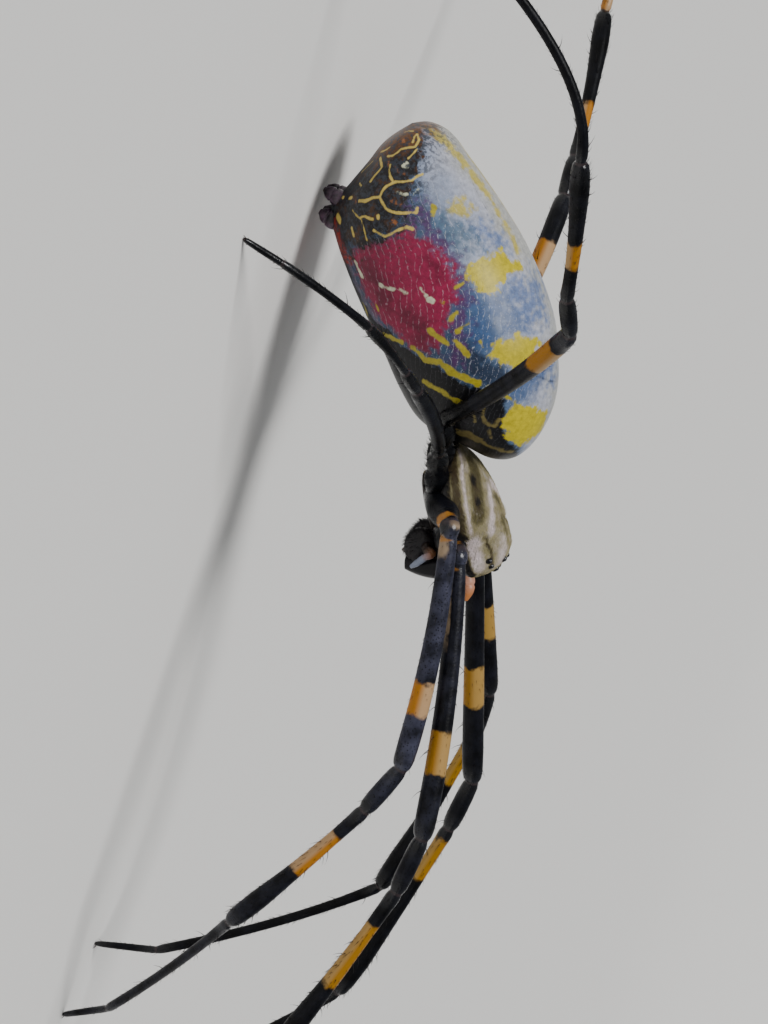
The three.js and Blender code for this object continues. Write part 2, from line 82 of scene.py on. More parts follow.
to_camera = Vector((math.sin(AZIMUTH) * math.cos(ELEVATION), -math.cos(AZIMUTH) * math.cos(ELEVATION),
                    math.sin(ELEVATION)))
level = (-to_camera).cross(UP).normalized()
rise = level.cross(-to_camera)
picture_right = math.cos(ROLL) * rise - math.sin(ROLL) * level
picture_up = -math.sin(ROLL) * rise - math.cos(ROLL) * level
eye_point = (AIM_MM + to_camera * DISTANCE_MM
             + picture_right * SLIDE_MM[0] + picture_up * SLIDE_MM[1]) * MM

camera_data = bpy.data.cameras.new("camera")
camera_data.lens = LENS_MM
camera_data.sensor_width = SENSOR_MM
camera_data.clip_start = 0.01
camera = bpy.data.objects.new("camera", camera_data)
camera.matrix_world = (Matrix.Translation(eye_point + model_shift)
                       @ Matrix((picture_right, picture_up, to_camera)).transposed().to_4x4())
bpy.context.collection.objects.link(camera)
bpy.context.scene.camera = camera

# The abdomen: a taut, smooth bag of thin cuticle, large with eggs. Its colours are pigment and silvery
# crystals under the clear skin, so they are soft edged and finely speckled. The darkening down the flank
# is partly painted shade, and the dark fold lines and the slate band below the first fold are painted
# shade.
ABDOMEN_PITCH = math.radians(41.7)
ABDOMEN_ORIGIN_MM = Vector((0, 12.9, 2.05))
# distance forward, height of the back, height of the belly, half width
ABDOMEN = [
    (-1.3, 2.75, 2.75, 0), (-1.0, 3.5, 1.2, 1.5), (-0.4, 4.1, 0.05, 2.4), (0.3, 4.42, -1.2, 3.0),
    (1.2, 4.62, -2.25, 3.45), (2.4, 4.9, -2.95, 3.85), (4.2, 5.25, -3.12, 4.2),
    (6.3, 5.55, -3.14, 4.35), (8.5, 5.6, -3.05, 4.35), (10.5, 5.4, -3.05, 4.1),
    (12.2, 4.85, -2.85, 3.65), (13.4, 4.35, -2.2, 3.2), (14.5, 3.6, -1.2, 2.6),
    (15.4, 2.6, -0.45, 1.9), (15.9, 1.7, 0.25, 1.0), (16.1, 0.95, 0.95, 0),
]
# the belly swells a little round the spinnerets: height, distance forward, reach along and across
SWELL, SWELL_AT, SWELL_ALONG, SWELL_ACROSS = 0.5, 1.45, 0.8, 0.95
SWELL_WAY = Vector((0, 0.75, -0.65))
ABDOMEN_RINGS, ABDOMEN_SIDES = 316, 300


def on_curve(table, share):
    """A table's row of sizes at a share of its length, on a smooth curve through its rows."""
    place = min(max(share, 0), 1) * (len(table) - 1)
    i = min(int(place), len(table) - 2)
    t = place - i
    rows = [table[max(i - 1, 0)], table[i], table[i + 1], table[min(i + 2, len(table) - 1)]]
    row = []
    for a, b, c, d in zip(*rows):
        into, out = (c - a) / 2, (d - b) / 2
        row.append(((2 * b - 2 * c + into + out) * t + (3 * c - 3 * b - 2 * into - out)) * t * t
                   + into * t + b)
    return row


def half_frame(origin, pitch):
    """Turns a body half's own (side, back, up) in millimetres into metres of the model."""
    return Matrix.Translation(origin) @ Matrix.Rotation(-pitch, 4, "X") @ Matrix.Scale(MM, 4)


def set_out(name, mesh):
    """A finished mesh as a smooth object in the scene."""
    mesh.shade_smooth()
    made = bpy.data.objects.new(name, mesh)
    bpy.context.collection.objects.link(made)
    return made


def shell(name, rings, sides, place, fields=()):
    """A closed skin: a ball whose rings are laid along a piece. place(share, across, upward) gives
    a point in metres and one value for each named field."""
    mesh = bpy.data.meshes.new(name)
    work = bmesh.new()
    bmesh.ops.create_uvsphere(work, u_segments=sides, v_segments=rings, radius=1)
    values = []
    for vertex in work.verts:
        share = round(math.acos(max(-1, min(1, vertex.co.z))) / math.pi * rings) / rings
        turn = math.atan2(vertex.co.y, vertex.co.x)
        point, *rest = place(share, math.cos(turn), math.sin(turn))
        vertex.co = point
        values.append(rest)
    bmesh.ops.recalc_face_normals(work, faces=work.faces)
    work.to_mesh(mesh)
    work.free()
    for field, column in zip(fields, zip(*values)):
        mesh.attributes.new(field, "FLOAT", "POINT").data.foreach_set("value", column)
    return set_out(name, mesh)


def linear(code):
    """An sRGB hex colour as the linear values that a shader takes."""
    parts = [int(code[i:i + 2], 16) / 255 for i in (1, 3, 5)]
    return [p / 12.92 if p < 0.04045 else ((p + 0.055) / 1.055) ** 2.4 for p in parts] + [1]


# the output that a kind of node is used for, where it isn't its first
OUTPUTS = {"TexCoord": "Object", "Attribute": "Fac", "Mix": 2, "LayerWeight": "Facing"}


def add(tree, kind, inputs=(), stops=(), **settings):
    """Adds a node with its settings, its colour stops, and its inputs as values or as links, and
    gives its output. A mix of colours takes its share as input 0 and its colours as 6 and 7."""
    made = tree.nodes.new("ShaderNode" + kind)
    for key, value in settings.items():
        setattr(made, key, value)
    for socket, value in dict(inputs).items():
        if isinstance(value, bpy.types.NodeSocket):
            tree.links.new(value, made.inputs[socket])
        else:
            made.inputs[socket].default_value = value
    if stops:
        ends = made.color_ramp.elements[:]
        for end, (position, code) in zip(ends, (stops[0], stops[-1])):
            end.position, end.color = position, linear(code)
        for position, code in stops[1:-1]:
            made.color_ramp.elements.new(position).color = linear(code)
    return made.outputs[OUTPUTS.get(kind, 0)]


def finish_for(name, roughness, **shader):
    """A new material with its shader: (material, node tree, shader node)."""
    material = bpy.data.materials.new(name)
    material.use_nodes = True
    tree = material.node_tree
    surface = tree.nodes["Principled BSDF"]
    for key, value in {"ior": 1.5, "roughness": roughness, **shader}.items():
        socket = key.replace("_", " ").title().replace("Ior", "IOR")
        surface.inputs[socket].default_value = value
    return material, tree, surface


def laid_over(tree, colour, wander, field, paint, softness, stray, strength):
    """A colour with a paint over it inside a field's edge, which is soft and strays by some
    millimetres: (colour, how far the paint covers)."""
    edge = add(tree, "Attribute", attribute_name=field)
    edge = add(tree, "Math", {0: wander, 1: stray * 2, 2: edge}, operation="MULTIPLY_ADD")
    cover = add(tree, "MapRange", {"Value": edge, "From Min": softness, "From Max": -softness,
                                   "To Max": strength}, interpolation_type="SMOOTHSTEP")
    paint = linear(paint) if isinstance(paint, str) else paint
    return add(tree, "Mix", {0: cover, 6: colour, 7: paint}, data_type="RGBA"), cover


def settle(piece, material, slot, *nodes):
    """Gives a piece its material, and says what it rides on and stands for. The slot is not used."""
    piece.data.materials.append(material)
    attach(piece, "root")
    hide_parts(*nodes)


abdomen_frame = half_frame(ABDOMEN_ORIGIN_MM * MM + model_shift, ABDOMEN_PITCH)
abdomen_places = []


def abdomen_place(share, across, upward):
    forward, back_height, belly_height, half_width = on_curve(ABDOMEN, share)
    if share in (0, 1):
        across = upward = 0
    middle, half = (back_height + belly_height) / 2, (back_height - belly_height) / 2
    point = Vector((half_width * across, -forward, middle + half * upward))
    if upward < 0:
        near = ((forward - SWELL_AT) / SWELL_ALONG) ** 2 + (point.x / SWELL_ACROSS) ** 2
        point += SWELL_WAY * SWELL * math.exp(-near)
    angle = math.degrees(math.atan2(abs(across), upward)) if share not in (0, 1) else 90
    abdomen_places.append((forward, angle, math.copysign(1, across)))
    return abdomen_frame @ point, angle


abdomen = shell("abdomen_skin", ABDOMEN_RINGS, ABDOMEN_SIDES, abdomen_place, ("angle",))

# The markings as lines along the skin: half thickness in mm, then points, each as its distance
# forward in mm and its angle from the middle of the back in degrees.
REAR_NET = [
    (0.08, [(1.01, 122), (1.1, 114), (1.07, 107), (1.14, 99)]),
    (0.065, [(0.95, 59), (0.94, 64), (1, 69), (0.91, 77), (0.76, 84), (0.76, 88), (0.81, 94),
             (0.93, 97), (1.16, 99), (1.47, 96), (1.74, 94), (2, 90), (2.19, 85), (2.35, 78),
             (2.5, 73), (2.3, 71)]),
    (0.055, [(0.73, 87), (0.42, 91), (0.15, 94), (-0.06, 95)]),
    (0.05, [(-0.1, 151), (-0.25, 146), (-0.42, 139)]),
    (0.07, [(0.34, 115), (0.17, 113), (0.04, 109), (-0.09, 107), (-0.3, 114), (-0.47, 122)]),
    (0.05, [(-0.44, 106), (-0.39, 96), (-0.45, 89), (-0.52, 85), (-0.46, 74), (-0.35, 63), (-0.56, 55),
            (-0.83, 53), (-0.77, 60), (-0.59, 65)]),
    (0.05, [(-1.11, 85), (-1.1, 71), (-1.02, 58)]), (0.045, [(-0.23, 61), (-0.1, 67), (0, 72)]),
    (0.04, [(1.31, 129), (1.58, 123), (1.83, 117), (2.27, 115), (2.62, 115), (2.86, 115)]),
    (0.065, [(1.74, 117), (1.77, 113), (1.96, 108), (2.01, 106)]), (0.09, [(1.96, 101), (2.06, 101)]),
    (0.06, [(2.52, 107), (2.75, 104), (2.97, 100), (2.98, 95), (2.91, 91), (2.93, 86)]),
    (0.08, [(2.95, 83), (3.13, 80)]), (0.08, [(2.1, 128), (2.49, 127)]),
    (0.04, [(0.28, 134), (0.41, 128)]), (0.04, [(-0.69, 130), (-0.71, 117), (-0.77, 110)]),
    (0.18, [(1.52, 157), (1.68, 148)]), (0.08, [(0.78, 162), (0.79, 157)]),
    (0.09, [(0.8, 141), (0.8, 136)]),
]
FLANK_MARKS = [
    (0.12, [(8.01, 99), (8.47, 96), (8.91, 92)]), (0.13, [(8.98, 86), (9.47, 84), (9.91, 82)]),
    (0.12, [(7.86, 84), (7.7, 78)]), (0.08, [(8.59, 83), (8.47, 78), (8.43, 74)]),
    (0.08, [(6.56, 72), (6.5, 66)]), (0.06, [(6.84, 84), (7.01, 83)]), (0.13, [(2.6, 60), (2.95, 62)]),
    (0.1, [(5.85, 151), (6.23, 151), (6.62, 155)]), (0.11, [(7.57, 139), (7.85, 131), (8.21, 124)]),
    (0.13, [(8.6, 117), (8.98, 113), (9.36, 111), (9.52, 106), (9.68, 101), (10.02, 99)]),
    (0.2, [(10.02, 99), (10.47, 95), (10.89, 89), (11.37, 82)]), (0.05, [(9.47, 71), (9.78, 71)]),
    (0.13, [(10.36, 120), (10.77, 115), (11.1, 110), (11.54, 105), (12.07, 99)]),
    (0.04, [(5.93, 132), (6.31, 132)]), (0.07, [(12.43, 68), (12.66, 65), (13.03, 61), (13.36, 62)]),
]
WHITE_DASHES = [
    (0.09, [(3.78, 135), (4.15, 135), (4.48, 134)]), (0.08, [(5.13, 120), (5.37, 115), (5.53, 110)]),
    (0.07, [(5.67, 106), (5.92, 102)]), (0.07, [(5.93, 92), (6.17, 92), (6.36, 91)]),
    (0.15, [(6.64, 90), (6.74, 89)]), (0.15, [(0.2, 76), (0.22, 76)]), (0.045, [(1.62, 71), (1.54, 66)]),
    (0.05, [(1.24, 83), (1.41, 79), (1.53, 75)]), (0.06, [(11.77, 78), (11.8, 73)]),
]
RUSTY_MARKS = [
    (0.07, [(1.48, 89), (1.7, 85), (1.87, 82)]), (0.09, [(2.41, 90), (2.58, 89)]),
    (0.05, [(-0.85, 82), (-0.75, 80)]), (0.03, [(-0.04, 89), (0.33, 84)]),
    (0.04, [(0.43, 81), (0.58, 76)]), (0.05, [(-0.2, 100), (0.0, 97)]),
    (0.04, [(0.9, 128), (1.1, 125)]),
]
PALE_MARKS = [
    (0.3, [(3.07, 46), (3.38, 40)]), (0.1, [(2.88, 40), (2.89, 33), (3.24, 33), (3.5, 32)]),
    (0.3, [(-0.9, 25), (-0.4, 23), (0.3, 19), (1.2, 14), (2.2, 11), (3.3, 10)]),
    (0.17, [(3.3, 10), (4.9, 11), (5.8, 13), (6.6, 16)]),
]
CREAM_BAND = [
    (0.24, [(13.5, 121), (13.8, 114), (14.2, 113)]),
    (0.12, [(14.2, 113), (14.7, 110), (15.2, 99), (15.5, 80)]),
    (0.07, [(12.44, 82), (12.87, 87), (13.28, 91), (13.68, 90), (13.83, 87), (13.6, 79)]),
    (0.06, [(13.8, 91), (14.34, 98)]), (0.04, [(12.88, 96), (13.22, 98)]),
]
# the folds in the skin: creased in, and drawn dark along their length as painted shade
FOLDS = [(0.02, [(9.2, 87), (9.76, 80), (10.19, 75), (10.57, 70), (10.97, 64), (11.34, 59)]),
         (0.02, [(12.16, 41), (12.49, 33), (12.91, 23), (13.2, 9)])]
GROOVES = [(0.015, [(0.61, 23), (1.56, 20), (2.16, 18), (3.06, 21), (4.18, 22), (4.78, 22)]),
           (0.015, [(5.96, 32), (6.55, 27), (7.23, 22)])]
DEEP_BLUE = [(0.85, [(7.7, 64), (9.3, 69)]), (0.6, [(8.0, 50), (9.5, 46)]),
             (0.6, [(12.4, 34), (12.7, 46), (12.5, 58)])]
HAZE = [(0.8, [(7.9, 38), (8.6, 22), (9.3, 34)]), (0.6, [(9.6, 20), (8.4, 12)]),
        (0.5, [(4.7, 38), (5.5, 30)]), (0.4, [(12.1, 20), (12.8, 14)])]
TEAL = [(0.5, [(3.35, 63), (3.9, 62), (4.6, 57)]), (0.4, [(4.1, 52), (5.0, 46)])]
# a band of painted shade just below the first fold
SLATE = [(0.55, [(9.7, 83), (10.8, 78), (11.5, 67)])]
PURPLE = [(0.4, [(1.6, 80), (2.7, 77)]),
          (0.32, [(2.3, 70), (3.22, 71), (4.41, 67), (5.35, 65), (6.3, 66), (7.2, 70), (8.1, 78),
                  (9.2, 85), (9.9, 92)])]
WINE = [(0.5, [(4.2, 124), (5.2, 120), (6.0, 124)]), (0.4, [(6.9, 110), (7.6, 106), (8.4, 106)]),
        (0.12, [(4.7, 78), (5.6, 78)])]
RED = [(0.4, [(2.0, 158), (2.7, 152), (3.3, 148)]), (0.6, [(2.6, 172), (3.3, 168)])]
LILAC = [(0.3, [(3.4, 147), (4.8, 149), (6, 146), (7.2, 139)])]
# the crimson field and the yellow patches as closed outlines
CRIMSON = [(2.88, 120), (3.12, 109), (3.13, 100), (3, 88), (3.31, 81), (3.9, 76), (4.54, 70), (5.13, 67),
           (6, 68), (6.78, 72), (7.55, 82), (8.29, 89), (8.85, 98), (8.97, 109), (8.55, 119),
           (7.53, 125), (7.0, 134), (5.87, 138), (4.74, 139), (3.78, 138), (3.1, 134)]
YELLOW_PATCHES = [
    [(6.21, 62), (5.98, 58), (5.74, 55), (5.74, 50), (5.93, 46), (5.92, 42), (5.8, 37), (5.88, 31),
     (6.12, 30), (6.45, 28), (6.71, 25), (6.83, 19), (7.14, 17), (7.3, 22), (7.11, 28), (7.13, 35),
     (7.32, 39), (7.49, 44), (7.68, 47), (7.72, 51), (7.48, 53), (7.29, 56), (7.2, 60), (6.68, 61)],
    [(10.27, 69), (10.02, 65), (9.85, 61), (9.88, 55), (9.98, 51), (9.84, 47), (9.96, 43), (10.31, 39),
     (10.6, 32), (11.01, 28), (11.33, 35), (11.48, 42), (11.52, 50), (11.45, 55), (11.19, 58),
     (10.79, 63), (10.5, 67)],
    [(13.91, 79), (13.59, 75), (13.33, 69), (13.24, 62), (13.26, 55), (13.5, 48), (13.88, 40),
     (14.16, 30), (14.45, 20), (14.76, 19), (15.19, 16), (15.34, 27), (15.37, 44), (15.36, 57),
     (15.12, 71), (14.8, 80), (14.36, 81)],
]
# how far apart the fine lengthwise lines are in mm, and how far they sink towards the belly for
# each millimetre forward
LINE_SPACING, LINE_SLANT = 0.38, 0.43
# how far forward the brown tip of the rear end reaches, how far forward the dark rear end reaches
# at each angle, and how far down the flank's colours reach at each distance forward
TIP_END = -0.55
REAR_EDGE = [(0, -1.3), (35, -1.1), (46, -0.76), (54, -0.2), (61, 0.1), (64, 0.9), (71, 1.4), (80, 2.2),
             (88, 2.9), (105, 3.05), (125, 3.1), (148, 3.2), (160, 1.6), (180, 0.4)]
BELLY_EDGE = [(-1.3, 158), (1.2, 152), (2.5, 150), (3.4, 150), (4.8, 152), (5.9, 149), (7, 142),
              (7.4, 130), (8.3, 126), (8.8, 119), (9.6, 109), (10.3, 101), (11.1, 92), (11.6, 84),
              (12, 74), (12.6, 68), (13.3, 69), (13.9, 79), (14.8, 82), (15.4, 70), (16.1, 60)]

abdomen_curve = np.array([on_curve(ABDOMEN, step / 800) for step in range(801)])
forward, angle, side = np.array(abdomen_places).T
# the hidden left flank carries the same marks a little displaced, as the two sides never match
left = (side > 0) * np.clip(angle / 30, 0, 1)
marked_forward = forward + left * 0.25 * np.sin(angle / 16 + 1.3)
marked_angle = angle + left * 4 * np.sin(0.8 * forward + 0.4)


def skin_points(ahead, degrees):
    """Points of one flank, in the abdomen's own millimetres, at distances forward and angles."""
    back_height, belly_height, half_width = (
        np.interp(ahead, abdomen_curve[:, 0], abdomen_curve[:, i]) for i in (1, 2, 3))
    turn = np.radians(degrees)
    middle, half = (back_height + belly_height) / 2, (back_height - belly_height) / 2
    return np.stack([half_width * np.sin(turn), ahead, middle + half * np.cos(turn)], axis=-1)


skin = skin_points(marked_forward, marked_angle)
radius = (np.interp(forward, abdomen_curve[:, 0], abdomen_curve[:, 3])
          + np.interp(forward, abdomen_curve[:, 0], (abdomen_curve[:, 1] - abdomen_curve[:, 2]) / 2)) / 2


def from_lines(lines, points=skin, on_skin=skin_points):
    """How far some points are outside the nearest of some lines along a skin, in mm."""
    nearest = np.full(len(points), 1e3)
    for half_thickness, line in lines:
        steps = np.linspace(0, len(line) - 1, 4 * len(line) - 3)
        bends = on_skin(*(np.interp(steps, range(len(line)), column) for column in zip(*line)))
        for start, run in zip(bends, np.diff(bends, axis=0)):
            away = points - start
            t = np.clip(away @ run / max(run @ run, 1e-9), 0, 1)
            away -= t[:, None] * run
            nearest = np.minimum(nearest, np.sqrt((away * away).sum(axis=1)) - half_thickness)
    return nearest


def from_outline(outline):
    """How far each point of the skin is outside a closed outline, in mm, less than nothing inside."""
    closed = outline + outline[:1]
    edge = from_lines([(0, closed)])
    inside = np.zeros(len(skin), bool)
    for (ahead, degrees), (next_ahead, next_degrees) in zip(closed, closed[1:]):
        crosses = (degrees > marked_angle) != (next_degrees > marked_angle)
        run = next_degrees - degrees or 1e-9
        where = ahead + (marked_angle - degrees) / run * (next_ahead - ahead)
        inside ^= crosses & (marked_forward < where)
    return np.where(inside, -edge, edge)


# the fields, as how far each point of the skin is outside a marking, in mm
LINE_MARKS = {
    "haze": HAZE, "deep_blue": DEEP_BLUE, "teal": TEAL, "slate": SLATE, "purple": PURPLE, "wine": WINE,
    "lilac": LILAC, "red": RED, "rear_net": REAR_NET, "flank_mark": FLANK_MARKS, "rusty": RUSTY_MARKS,
    "pale": PALE_MARKS, "white_dash": WHITE_DASHES, "cream": CREAM_BAND, "fold": FOLDS, "groove": GROOVES,
}
fields = {name: from_lines(lines) for name, lines in LINE_MARKS.items()}
fields["crimson"] = from_outline(CRIMSON)
fields["yellow_patch"] = np.minimum.reduce([from_outline(outline) for outline in YELLOW_PATCHES])
fields["rear"] = marked_forward - np.interp(marked_angle, *zip(*REAR_EDGE))
fields["tip"] = marked_forward - TIP_END
fields["belly"] = np.radians(np.interp(marked_forward, *zip(*BELLY_EDGE)) - marked_angle) * radius
# the way round the body from the middle of the back, along which the fine lines are counted
fields["girth"] = np.radians(angle) * radius - LINE_SLANT * forward
for name, values in fields.items():
    abdomen.data.attributes.new(name, "FLOAT", "POINT").data.foreach_set("value", values)

# a thin, taut cuticle gives a soft sheen, with a trace of a clear coat
cuticle, tree, surface = finish_for("abdomen_cuticle", 0.4, ior=1.45, specular_ior_level=0.3,
                                    coat_weight=0.06, coat_roughness=0.25)
place = add(tree, "TexCoord")
round_angle = add(tree, "Attribute", attribute_name="angle")
round_mm = add(tree, "Attribute", attribute_name="girth")
# a pattern's scale is how many of its spots there are to the metre, so 2.6 / MM is 2.6 to the mm
ragged = add(tree, "TexNoise", {"Vector": place, "Scale": 2.6 / MM, "Detail": 3})
wander = add(tree, "Math", {0: ragged, 1: 0.5}, operation="SUBTRACT")
broad = add(tree, "TexNoise", {"Vector": place, "Scale": 0.42 / MM, "Detail": 4})

# the flank runs from dusky blue below to silver on the back, partly its own colour and partly painted
# shade, darker lower down where less light falls
shade = add(tree, "Math", {0: broad, 1: 50, 2: -25}, operation="MULTIPLY_ADD")
soft_angle = add(tree, "Math", {0: round_angle, 1: shade}, operation="ADD")
down = add(tree, "MapRange", {"Value": soft_angle, "From Min": 8, "From Max": 90})
colour = add(tree, "ValToRGB", {"Fac": down},
             ((0, "#a8a8a4"), (0.25, "#a9abb6"), (0.5, "#8f97ab"), (0.75, "#536884"), (1, "#33465f")))
# field, colour, softness of the edge in mm, how far the edge wanders in mm, strength
LAYERS = [
    ("haze", "#566c98", 1.0, 2.2, 0.85), ("pale", "#b5a542", 0.2, 0.6, 0.9),
    ("teal", "#425c72", 0.4, 1.2, 0.8), ("deep_blue", "#35507a", 0.7, 0.8, 0.8),
    # slate: painted shade below the first fold
    ("slate", "#242d40", 0.4, 0.6, 0.85),
    ("lilac", "#5c5468", 0.2, 0.4, 0.9), ("purple", "#502f5a", 0.45, 1.2, 0.85),
    ("crimson", "#87193f", 0.3, 0.8, 1), ("wine", "#4a1024", 0.6, 0.8, 0.7),
    ("belly", "#08080b", 0.16, 0.5, 1), ("rear", "#1b191c", 0.28, 1.8, 1),
    ("tip", "#6b421f", 0.4, 0.9, 0.8), ("red", "#9c2410", 0.28, 0.6, 0.9),
    # fold: painted shade along the creases
    ("groove", "#4f4a36", 0.04, 0.05, 0.7), ("fold", "#1a1c26", 0.05, 0.08, 0.75),
]
TOP_LAYERS = [
    ("rusty", "#9a5f36", 0.06, 0.12, 0.8), ("yellow_patch", "#b8a81e", 0.12, 0.55, 1),
    ("flank_mark", "#a0932a", 0.06, 0.2, 1), ("rear_net", "#c2ab58", 0.035, 0.08, 1),
    ("cream", "#6d6136", 0.08, 0.25, 0.9), ("white_dash", "#c2c3a8", 0.05, 0.2, 1),
]
covers = {}
for field, *look in LAYERS:
    colour, covers[field] = laid_over(tree, colour, wander, field, *look)

# the dark rear end is clouded with brown
cloud = add(tree, "TexNoise", {"Vector": place, "Scale": 1.7 / MM, "Detail": 4})
cloud = add(tree, "MapRange", {"Value": cloud, "From Min": 0.52, "From Max": 0.66, "To Max": 0.5})
cloud = add(tree, "Math", {0: cloud, 1: covers["rear"]}, operation="MULTIPLY")
colour = add(tree, "Mix", {0: cloud, 6: colour, 7: linear("#5e3c20")}, data_type="RGBA")

# fine pale broken lines run lengthwise, faintest on the back
bend = add(tree, "TexNoise", {"Vector": place, "Scale": 1.1 / MM, "Detail": 3})
across = add(tree, "Math", {0: bend, 1: 0.85, 2: round_mm}, operation="MULTIPLY_ADD")
phase = add(tree, "Math", {0: across, 1: 2 * math.pi / LINE_SPACING}, operation="MULTIPLY")
wave = add(tree, "Math", {0: phase}, operation="SINE")
line = add(tree, "MapRange", {"Value": wave, "From Min": 0.86, "From Max": 1.0})
broken = add(tree, "TexNoise", {"Vector": place, "Scale": 5.2 / MM, "Detail": 2})
broken = add(tree, "MapRange", {"Value": broken, "From Min": 0.42, "From Max": 0.58})
line = add(tree, "Math", {0: line, 1: broken}, operation="MULTIPLY")
low_down = add(tree, "MapRange", {"Value": soft_angle, "From Min": 38, "From Max": 66,
                                  "To Min": 0.15, "To Max": 0.8})
line = add(tree, "Math", {0: line, 1: low_down}, operation="MULTIPLY")

# silvery specks lie between them, fewest on the crimson
specks = add(tree, "TexVoronoi", {"Vector": place, "Scale": 7.5 / MM})
specks = add(tree, "MapRange", {"Value": specks, "From Min": 0.24, "From Max": 0.08, "To Max": 0.6})
no_specks = add(tree, "Math", {0: covers["crimson"], 1: -0.85, 2: 1}, operation="MULTIPLY_ADD")
specks = add(tree, "Math", {0: specks, 1: no_specks}, operation="MULTIPLY")
glints = add(tree, "Math", {0: line, 1: specks}, operation="MAXIMUM")
# field, where the glints are least and where they are full in mm, and how strong they are at least
for field, start, end, least in (("rear", -0.6, 0.3, 0.15), ("belly", -0.3, 0.3, 0.15),
                                 ("crimson", -0.4, 0.4, 0.6)):
    edge = add(tree, "Attribute", attribute_name=field)
    clear = add(tree, "MapRange", {"Value": edge, "From Min": start, "From Max": end, "To Min": least})
    glints = add(tree, "Math", {0: glints, 1: clear}, operation="MULTIPLY")
glints = add(tree, "Math", {0: glints, 1: 0.55}, operation="MULTIPLY")
colour = add(tree, "Mix", {0: glints, 6: colour, 7: linear("#c6c4cc")}, data_type="RGBA")
for field, *look in TOP_LAYERS:
    colour = laid_over(tree, colour, wander, field, *look)[0]

# dark pits lie close together near the dark rear end and thin out over the silver
pits = add(tree, "TexNoise", {"Vector": place, "Scale": 5.2 / MM, "Detail": 3})
pits = add(tree, "MapRange", {"Value": pits, "From Min": 0.47, "From Max": 0.58})
edge = add(tree, "Attribute", attribute_name="rear")
near = add(tree, "MapRange", {"Value": edge, "From Min": 2.8, "From Max": 0.3, "To Max": 0.9})
pits = add(tree, "Math", {0: pits, 1: near}, operation="MULTIPLY")
off_net = add(tree, "Attribute", attribute_name="rear_net")
off_net = add(tree, "MapRange", {"Value": off_net, "From Min": 0.0, "From Max": 0.06})
pits = add(tree, "Math", {0: pits, 1: off_net}, operation="MULTIPLY")
off_crimson = add(tree, "Math", {0: covers["crimson"], 1: -0.7, 2: 1}, operation="MULTIPLY_ADD")
pits = add(tree, "Math", {0: pits, 1: off_crimson}, operation="MULTIPLY")
colour = add(tree, "Mix", {0: pits, 6: colour, 7: linear("#2f343d")}, data_type="RGBA")

# crystals under the skin make every colour finely mottled
mottle = add(tree, "TexNoise", {"Vector": place, "Scale": 3.6 / MM, "Detail": 4, "Roughness": 0.7})
mottle = add(tree, "MapRange", {"Value": mottle, "From Min": 0.3, "From Max": 0.7,
                               "To Min": 0.74, "To Max": 1.24})
colour = add(tree, "VectorMath", {0: colour, 1: mottle}, operation="MULTIPLY")
tree.links.new(colour, surface.inputs["Base Color"])

# the fine lines stand out a little, and the folds are creased in. The grain of real cuticle is much
# finer, and is drawn as coarse as it needs to show, here and on the other pieces
crease = add(tree, "Attribute", attribute_name="fold")
crease = add(tree, "MapRange", {"Value": crease, "From Min": 0, "From Max": 0.25})
grain = add(tree, "TexNoise", {"Vector": place, "Scale": 9 / MM, "Detail": 2})
relief = add(tree, "Math", {0: grain, 1: 0.35, 2: crease}, operation="MULTIPLY_ADD")
relief = add(tree, "Math", {0: line, 1: 0.3, 2: relief}, operation="MULTIPLY_ADD")
bump = add(tree, "Bump", {"Height": relief, "Strength": 0.35, "Distance": 0.05 * MM})
tree.links.new(bump, surface.inputs["Normal"])
settle(abdomen, cuticle, "abdomen_cuticle", "abdomen")

# The legs: each is a tube of hard cuticle, black and ringed with orange, with a soft skin at each joint.
# It grows from its coxa under the carapace's side. A blue-grey sheen is painted on where a leg faced the
# light.
# the lengths of femur, patella, tibia, metatarsus and tarsus of the four pairs in mm
LEG_LENGTHS = [(14.6, 3.1, 11.3, 14.4, 3.8), (12.6, 2.9, 9.8, 12.6, 3.4), (7.0, 1.9, 4.7, 6.2, 2.4),
               (12.4, 2.4, 8.6, 13.6, 3.6)]
# half thickness: hip, femur, patella, tibia, metatarsus, tarsus
LEG_RADII = [(0.6, 0.56, 0.46, 0.53, 0.26, 0.2), (0.6, 0.55, 0.46, 0.52, 0.26, 0.2),
             (0.5, 0.42, 0.33, 0.3, 0.22, 0.18), (0.54, 0.5, 0.42, 0.48, 0.25, 0.2)]
# where the coxa starts and ends on the head half: distance out, forward and up
COXA_ROOTS = [(0.95, 3.95, -1.15), (1.15, 1.95, -1.1), (1.2, 1.9, -1.0), (0.85, 0.85, -0.8)]
HIPS = [(2.5, 4.72, -0.26), (3.7, 3.0, -0.05), (3.5, -0.75, 0.1), (3.1, -2.2, 0.8)]
# pair, side, headings outwards from straight ahead and rises from level in degrees, tarsus drop,
# bow of the metatarsus and of the femur in mm
POSE = {
    "leg_right_1": (0, -1, (9, 5, -2, 8, 4), (12.5, -6, -17), 62, 0.5, 0.35),
    "leg_right_2": (1, -1, (7, 3, -4, -32, -36), (8, -21, -29), 45, 0.2, 0.35),
    "leg_right_3": (2, -1, (127, 127, 125, 124, 122), (-11, -20, -24), 50, 0.3, 0.35),
    "leg_right_4": (3, -1, (137, 145, 150, 168, 172), (24, -14, -7), 86, 2.2, 0.35),
    "leg_left_1": (0, 1, (10, 6, 0, 4, 4), (15.5, -7, -14), 65, 0.5, 0),
    "leg_left_2": (1, 1, (18, 12, -4, -10, -10), (17, -1, -12), 75, 0.5, 0),
    "leg_left_3": (2, 1, (125, 125, 122, 98, 98), (13, -15, -44), 80, 0.4, 0.35),
    "leg_left_4": (3, 1, (136, 138, 142, 165, 165), (2.5, -7, -10), 60, 1.2, 0.35),
}
TIBIA_BOW = 0.12
